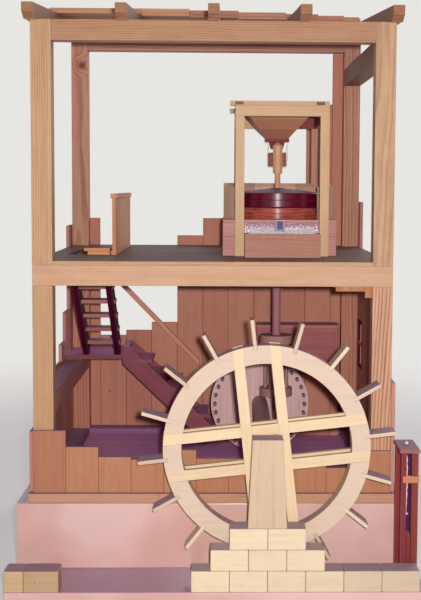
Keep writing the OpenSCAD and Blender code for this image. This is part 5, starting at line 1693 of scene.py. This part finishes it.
class MILL_OT_drive(MillPiece, Operator):
    """Shaft, face gear with its pegs, spindle, lantern and the bearings inside the house."""

    bl_idname = "mill.drive"
    bl_label = "Gear and Spindle"

    def execute(self, context):
        shaft = finish("shaft", rings=0.45, streaks=0.4, rough=0.45, axis="y")
        upright = finish("lantern", rings=0.45, streaks=0.4, rough=0.45, axis="z")
        disc = finish("disc", ring=4.0, rings=0.4, fibre=0.2, axis="z")
        # the spindle is tan above the stones and greyish below them
        change = (ORIGIN[2] + Z_FLOOR + 20, chosen("shaft"))
        grey = finish("spindle", ring=2.0, rings=0.4, streaks=0.4, rough=0.4, axis="z", above=change)
        for node, material, slot in (
            ("main_shaft", shaft, "yellow_pine"),
            ("spindle", grey, "yellow_pine"),
            ("lantern", upright, "yellow_pine"),
            ("face_gear", disc, "gear_disc"),
        ):
            dress(node, material)
        ease = preset("peg_ease")
        low, high = place("gear_pegs")
        r, t = 2.0, np.radians([0, 30, 60, 90])
        nose = np.stack([r - ease * (1 - np.cos(t)), ease - ease * np.sin(t)], -1)[::-1]
        profile = np.concatenate([nose + (0, low[1]), [(r, high[1])]])
        pegs = [
            turned(
                profile, (0, 0, 51.3), Y, 20, seed=200 + k, wear=[1, 0.6, 0.2, 0, 0]
            ).moved(wheel_turn(360 / 32 * k), WHEEL)
            for k in range(32)
        ]
        dark = finish("pegs", ring=1.6, rings=0.4, tones=0.12)
        build("peg_turnings", pegs, dark, "gear_pegs", "water_wheel")
        low, high = place("inner_bearings")
        shaft_x, step_left = WHEEL[0], STONE[0] - 3.8
        rows = [
            ((shaft_x - 14.3, 196, Z_GROUND), (shaft_x + 14.3, 212, WHEEL[2] + 14.3), "z"),
            ((step_left, 152, Z_GROUND), (step_left + 16, 168, 127.8), "z")
        ]
        timber("bearing_posts", rows, 0.6, 240, pine(), "inner_bearings")
        return {"FINISHED"}


class MILL_OT_sluice(MillPiece, Operator):
    """Sluice frame with its cap and cross-bars, and the gate on its cord."""

    bl_idname = "mill.sluice"
    bl_label = "Sluice"

    def execute(self, context):
        low, high = place("sluice_frame")
        x, y0, y1, top = 188.6, low[1], high[1], high[2]
        cap = 3.5
        left, right = x - 8.1, x + 2.1
        # the front left stile is slimmer than the others
        rows = [((left, y0, 0), (left + 4.8, y0 + 7, top - cap), "z")]
        rows += [((left, y1 - 7, 0), (left + 6, y1, top - cap), "z")]
        red = finish(
            "mahogany", ring=2.2, rings=0.55, tones=0.1, rough=0.45, coat=0.1, coat_rough=0.3, film=0.2
        )
        timber("sluice_timber", rows, 0.5, 251, red, "sluice_frame")
        rows = [((low[0], y0, top - cap), (high[0], y1, top), "y")]
        mauve = finish("cap", ring=2.2, rings=0.4, tones=0.1, film=0.4)
        timber("sluice_cap", rows, 0.5, 254, mauve)
        # painted shade: the rear right stile and the rear cross piece are dark purple for the shade inside
        # the sluice
        rows = [((right, y1 - 7, 0), (right + 6, y1, top - cap), "z")]
        rows += [((left, y0 + 7, top - 7), (right + 6, y1 - 7, top - cap), "y")]
        purple = finish("recess", ring=2.2, rings=0.4, tones=0.1, film=0.2)
        timber("sluice_rear_stile", rows, 0.5, 256, purple)
        rows = [((right, y0, 0), (right + 6, y0 + 7, top - cap), "z")]
        orange = finish("orange", ring=2.4, rings=0.6, tones=0.1, rough=0.45, coat=0.1, coat_rough=0.3)
        timber("sluice_stile", rows, 0.5, 252, orange)
        rows = [((x - 7.1, y, 97.5), (x + 9.1, y + 2.5, 104.5), "x") for y in (y0 - 0.01, y1 - 2.5)]
        bright = finish("crossbar", ring=2.4, rings=0.5, tones=0.1)
        timber("sluice_crossbars", rows, 0.5, 255, bright)
        low, high = place("sluice_gate")
        mid = (low[1] + high[1]) / 2
        rows = [((x - 1.8, low[1], low[2]), (x + 1.8, high[1], 46), "y")]
        timber("gate_boards", rows, 0.4, 253, red, "sluice_gate", "gate")
        # painted shade: the gate stem is dark purple like the rear stile
        rows = [((x - 1.8, mid - 4, 46), (x + 1.8, mid + 4, 61), "z")]
        timber("gate_stem", rows, 0.4, 257, purple, body="gate")
        # the cord runs up the right side of its slot and crinkles a little
        radius = preset("string") / 2
        share = np.linspace(0, 1, 90)
        swing = np.sin(math.pi * share)
        path = np.stack(
            [
                x + (0.9 + 0.25 * np.sin(50 * share)) * swing, mid + 0.3 * np.sin(37 * share) * swing,
                60 + (top + 0.6 - 60) * share
            ],
            -1
        )
        white = cotton("mill_gate_cord", chosen("string"))
        cord = build("gate_cord", [cordage(path, radius)], white, body="gate")
        t = np.linspace(-0.5, 0.5, 9) * math.pi
        knot = turned(np.stack([1.7 * np.cos(t) + 0.02, 1.7 * np.sin(t)], -1), (x, mid, top + 1.6), Z, 20)
        knot = build("gate_cord_knot", [knot], white, body="gate")
        t = np.linspace(-0.5, 0.5, 7) * math.pi
        hitch = turned(np.stack([1.1 * np.cos(t) + 0.02, 2.4 * np.sin(t)], -1), (x, mid, 61.6), X, 16)
        hitch = build("gate_cord_hitch", [hitch], white, body="gate")
        hang(cord, path, radius, "knot", with_pieces=[knot, hitch])
        return {"FINISHED"}


# ---- stage


class MILL_OT_stage(MillPiece, Operator):
    """Pale floor, soft lamps, even surroundings and the camera."""

    bl_idname = "mill.stage"
    bl_label = "Stage"

    def execute(self, context):
        scene, settings = context.scene, context.scene.mill_stage
        pale = self.floor_finish(tuple(settings.floor))
        side = 9.0
        mesh = bpy.data.meshes.new("stage_floor")
        corners = [(-side, -side, 0), (side, -side, 0), (side, side, 0), (-side, side, 0)]
        mesh.from_pydata(corners, [], [(0, 1, 2, 3)])
        mesh.materials.append(pale)
        floor = bpy.data.objects.new("stage_floor", mesh)
        scene.collection.objects.link(floor)
        target = Vector((0, 0, 0.3))
        for name, power, place_at, size in (
            ("key_lamp", settings.key, (0.031, -1.264, 0.415), 0.02),
            ("rear_lamp", settings.rear_lamp, (1.3, 1.9, 1.2), 1.2),
        ):
            lamp = bpy.data.lights.new(name, "AREA")
            lamp.energy, lamp.size = power, size
            light = bpy.data.objects.new(name, lamp)
            light.visible_camera = False
            light.location = place_at
            light.rotation_euler = (target - light.location).to_track_quat("-Z", "Y").to_euler()
            scene.collection.objects.link(light)
        world = bpy.data.worlds.new("stage_world")
        world.use_nodes = True
        nodes, links = world.node_tree.nodes, world.node_tree.links
        light = nodes["Background"]
        light.inputs["Color"].default_value = (*settings.tint, 1)
        light.inputs["Strength"].default_value = settings.sky
        seen = nodes.new("ShaderNodeBackground")
        seen.inputs["Color"].default_value = (*settings.floor, 1)
        rays, mix = nodes.new("ShaderNodeLightPath"), nodes.new("ShaderNodeMixShader")
        either = nodes.new("ShaderNodeMath")
        either.operation = "MAXIMUM"
        links.new(rays.outputs["Is Camera Ray"], either.inputs[0])
        links.new(rays.outputs["Is Glossy Ray"], either.inputs[1])
        links.new(either.outputs[0], mix.inputs[0])
        links.new(light.outputs[0], mix.inputs[1])
        links.new(seen.outputs[0], mix.inputs[2])
        links.new(mix.outputs[0], nodes["World Output"].inputs["Surface"])
        scene.world = world
        self.camera(scene)
        scene.view_settings.view_transform = "Standard"
        return {"FINISHED"}

    @staticmethod
    def floor_finish(base):
        """Pale floor that keeps shadows near the mill and fades into the background far from it."""
        f = Finish("stage_floor")
        f.surface(Base_Color=base, Roughness=0.9)
        reach = f.add("ShaderNodeVectorMath", {"operation": "LENGTH"}, {0: f.place_mm()}).outputs["Value"]
        rays = f.add("ShaderNodeLightPath")
        seen = f.math("MAXIMUM", rays.outputs["Is Camera Ray"], rays.outputs["Is Glossy Ray"])
        share = seen * (f.step(Number(f, reach), 500.0, 1500.0) * 0.55 + 0.45)
        glow = f.add("ShaderNodeEmission", sockets={"Color": base})
        mix = f.add("ShaderNodeMixShader", sockets={0: share, 1: f.shader.outputs[0], 2: glow.outputs[0]})
        f.tree.links.new(mix.outputs[0], f.output.inputs["Surface"])
        return f.material

    @staticmethod
    def camera(scene):
        """Camera at the viewing angle solved for the model's frame."""
        yaw, pitch, roll = (math.radians(a) for a in (1.242, 4.515, -0.335))
        ahead = np.array(
            [math.sin(yaw) * math.cos(pitch), math.cos(yaw) * math.cos(pitch), -math.sin(pitch)]
        )
        level = np.array([math.cos(yaw), -math.sin(yaw), 0])
        down = np.cross(ahead, level)
        right = math.cos(roll) * level + math.sin(roll) * down
        down = -math.sin(roll) * level + math.cos(roll) * down
        where = (np.array([11.4, -1127.9, 379.0]) + ORIGIN) / 1000
        data = bpy.data.cameras.new("camera")
        data.sensor_fit, data.sensor_height = "VERTICAL", 24
        data.lens = FOCAL * data.sensor_height / PHOTO_H
        data.shift_x, data.shift_y = (PHOTO_W / 2 - MIDDLE_U) / PHOTO_H, (MIDDLE_V - PHOTO_H / 2) / PHOTO_H
        data.clip_start, data.clip_end = 0.05, 40
        camera = bpy.data.objects.new("camera", data)
        axes = Matrix([right, -down, -ahead]).transposed().to_4x4()
        camera.matrix_world = Matrix.Translation(Vector(where)) @ axes
        scene.collection.objects.link(camera)
        scene.camera = camera


OPERATORS = [
    MILL_OT_stage, MILL_OT_hopper, MILL_OT_sluice, MILL_OT_base, MILL_OT_blocks, MILL_OT_frame,
    MILL_OT_roof, MILL_OT_floors, MILL_OT_stairs, MILL_OT_walls, MILL_OT_chest, MILL_OT_stones,
    MILL_OT_wheel, MILL_OT_drive
]


class MILL_PT_sidebar(Panel):
    """Lists the mill's operators and settings."""

    bl_label = "Water Mill"
    bl_idname = "MILL_PT_sidebar"
    bl_space_type = "VIEW_3D"
    bl_region_type = "UI"
    bl_category = "Water Mill"

    def draw(self, context):
        for step in OPERATORS:
            self.layout.operator(step.bl_idname)
        for key in GROUPS:
            group = getattr(context.scene, key)
            box = self.layout.box()
            for name in group.bl_rna.properties.keys():
                if name not in ("rna_type", "name"):
                    box.prop(group, name)


GROUPS = {
    "mill_timber": TimberSizes, "mill_sizes": MillSizes, "mill_colours": FinishColours,
    "mill_stage": StageSettings
}
CLASSES = [*GROUPS.values(), *OPERATORS, MILL_PT_sidebar]


def register():
    for cls in CLASSES:
        bpy.utils.register_class(cls)
    for key, cls in GROUPS.items():
        setattr(bpy.types.Scene, key, PointerProperty(type=cls))


def unregister():
    for key in GROUPS:
        delattr(bpy.types.Scene, key)
    for cls in reversed(CLASSES):
        bpy.utils.unregister_class(cls)


def main():
    register()
    for step in OPERATORS:
        group, name = step.bl_idname.split(".")
        getattr(getattr(bpy.ops, group), name)()


if __name__ == "__main__":
    main()
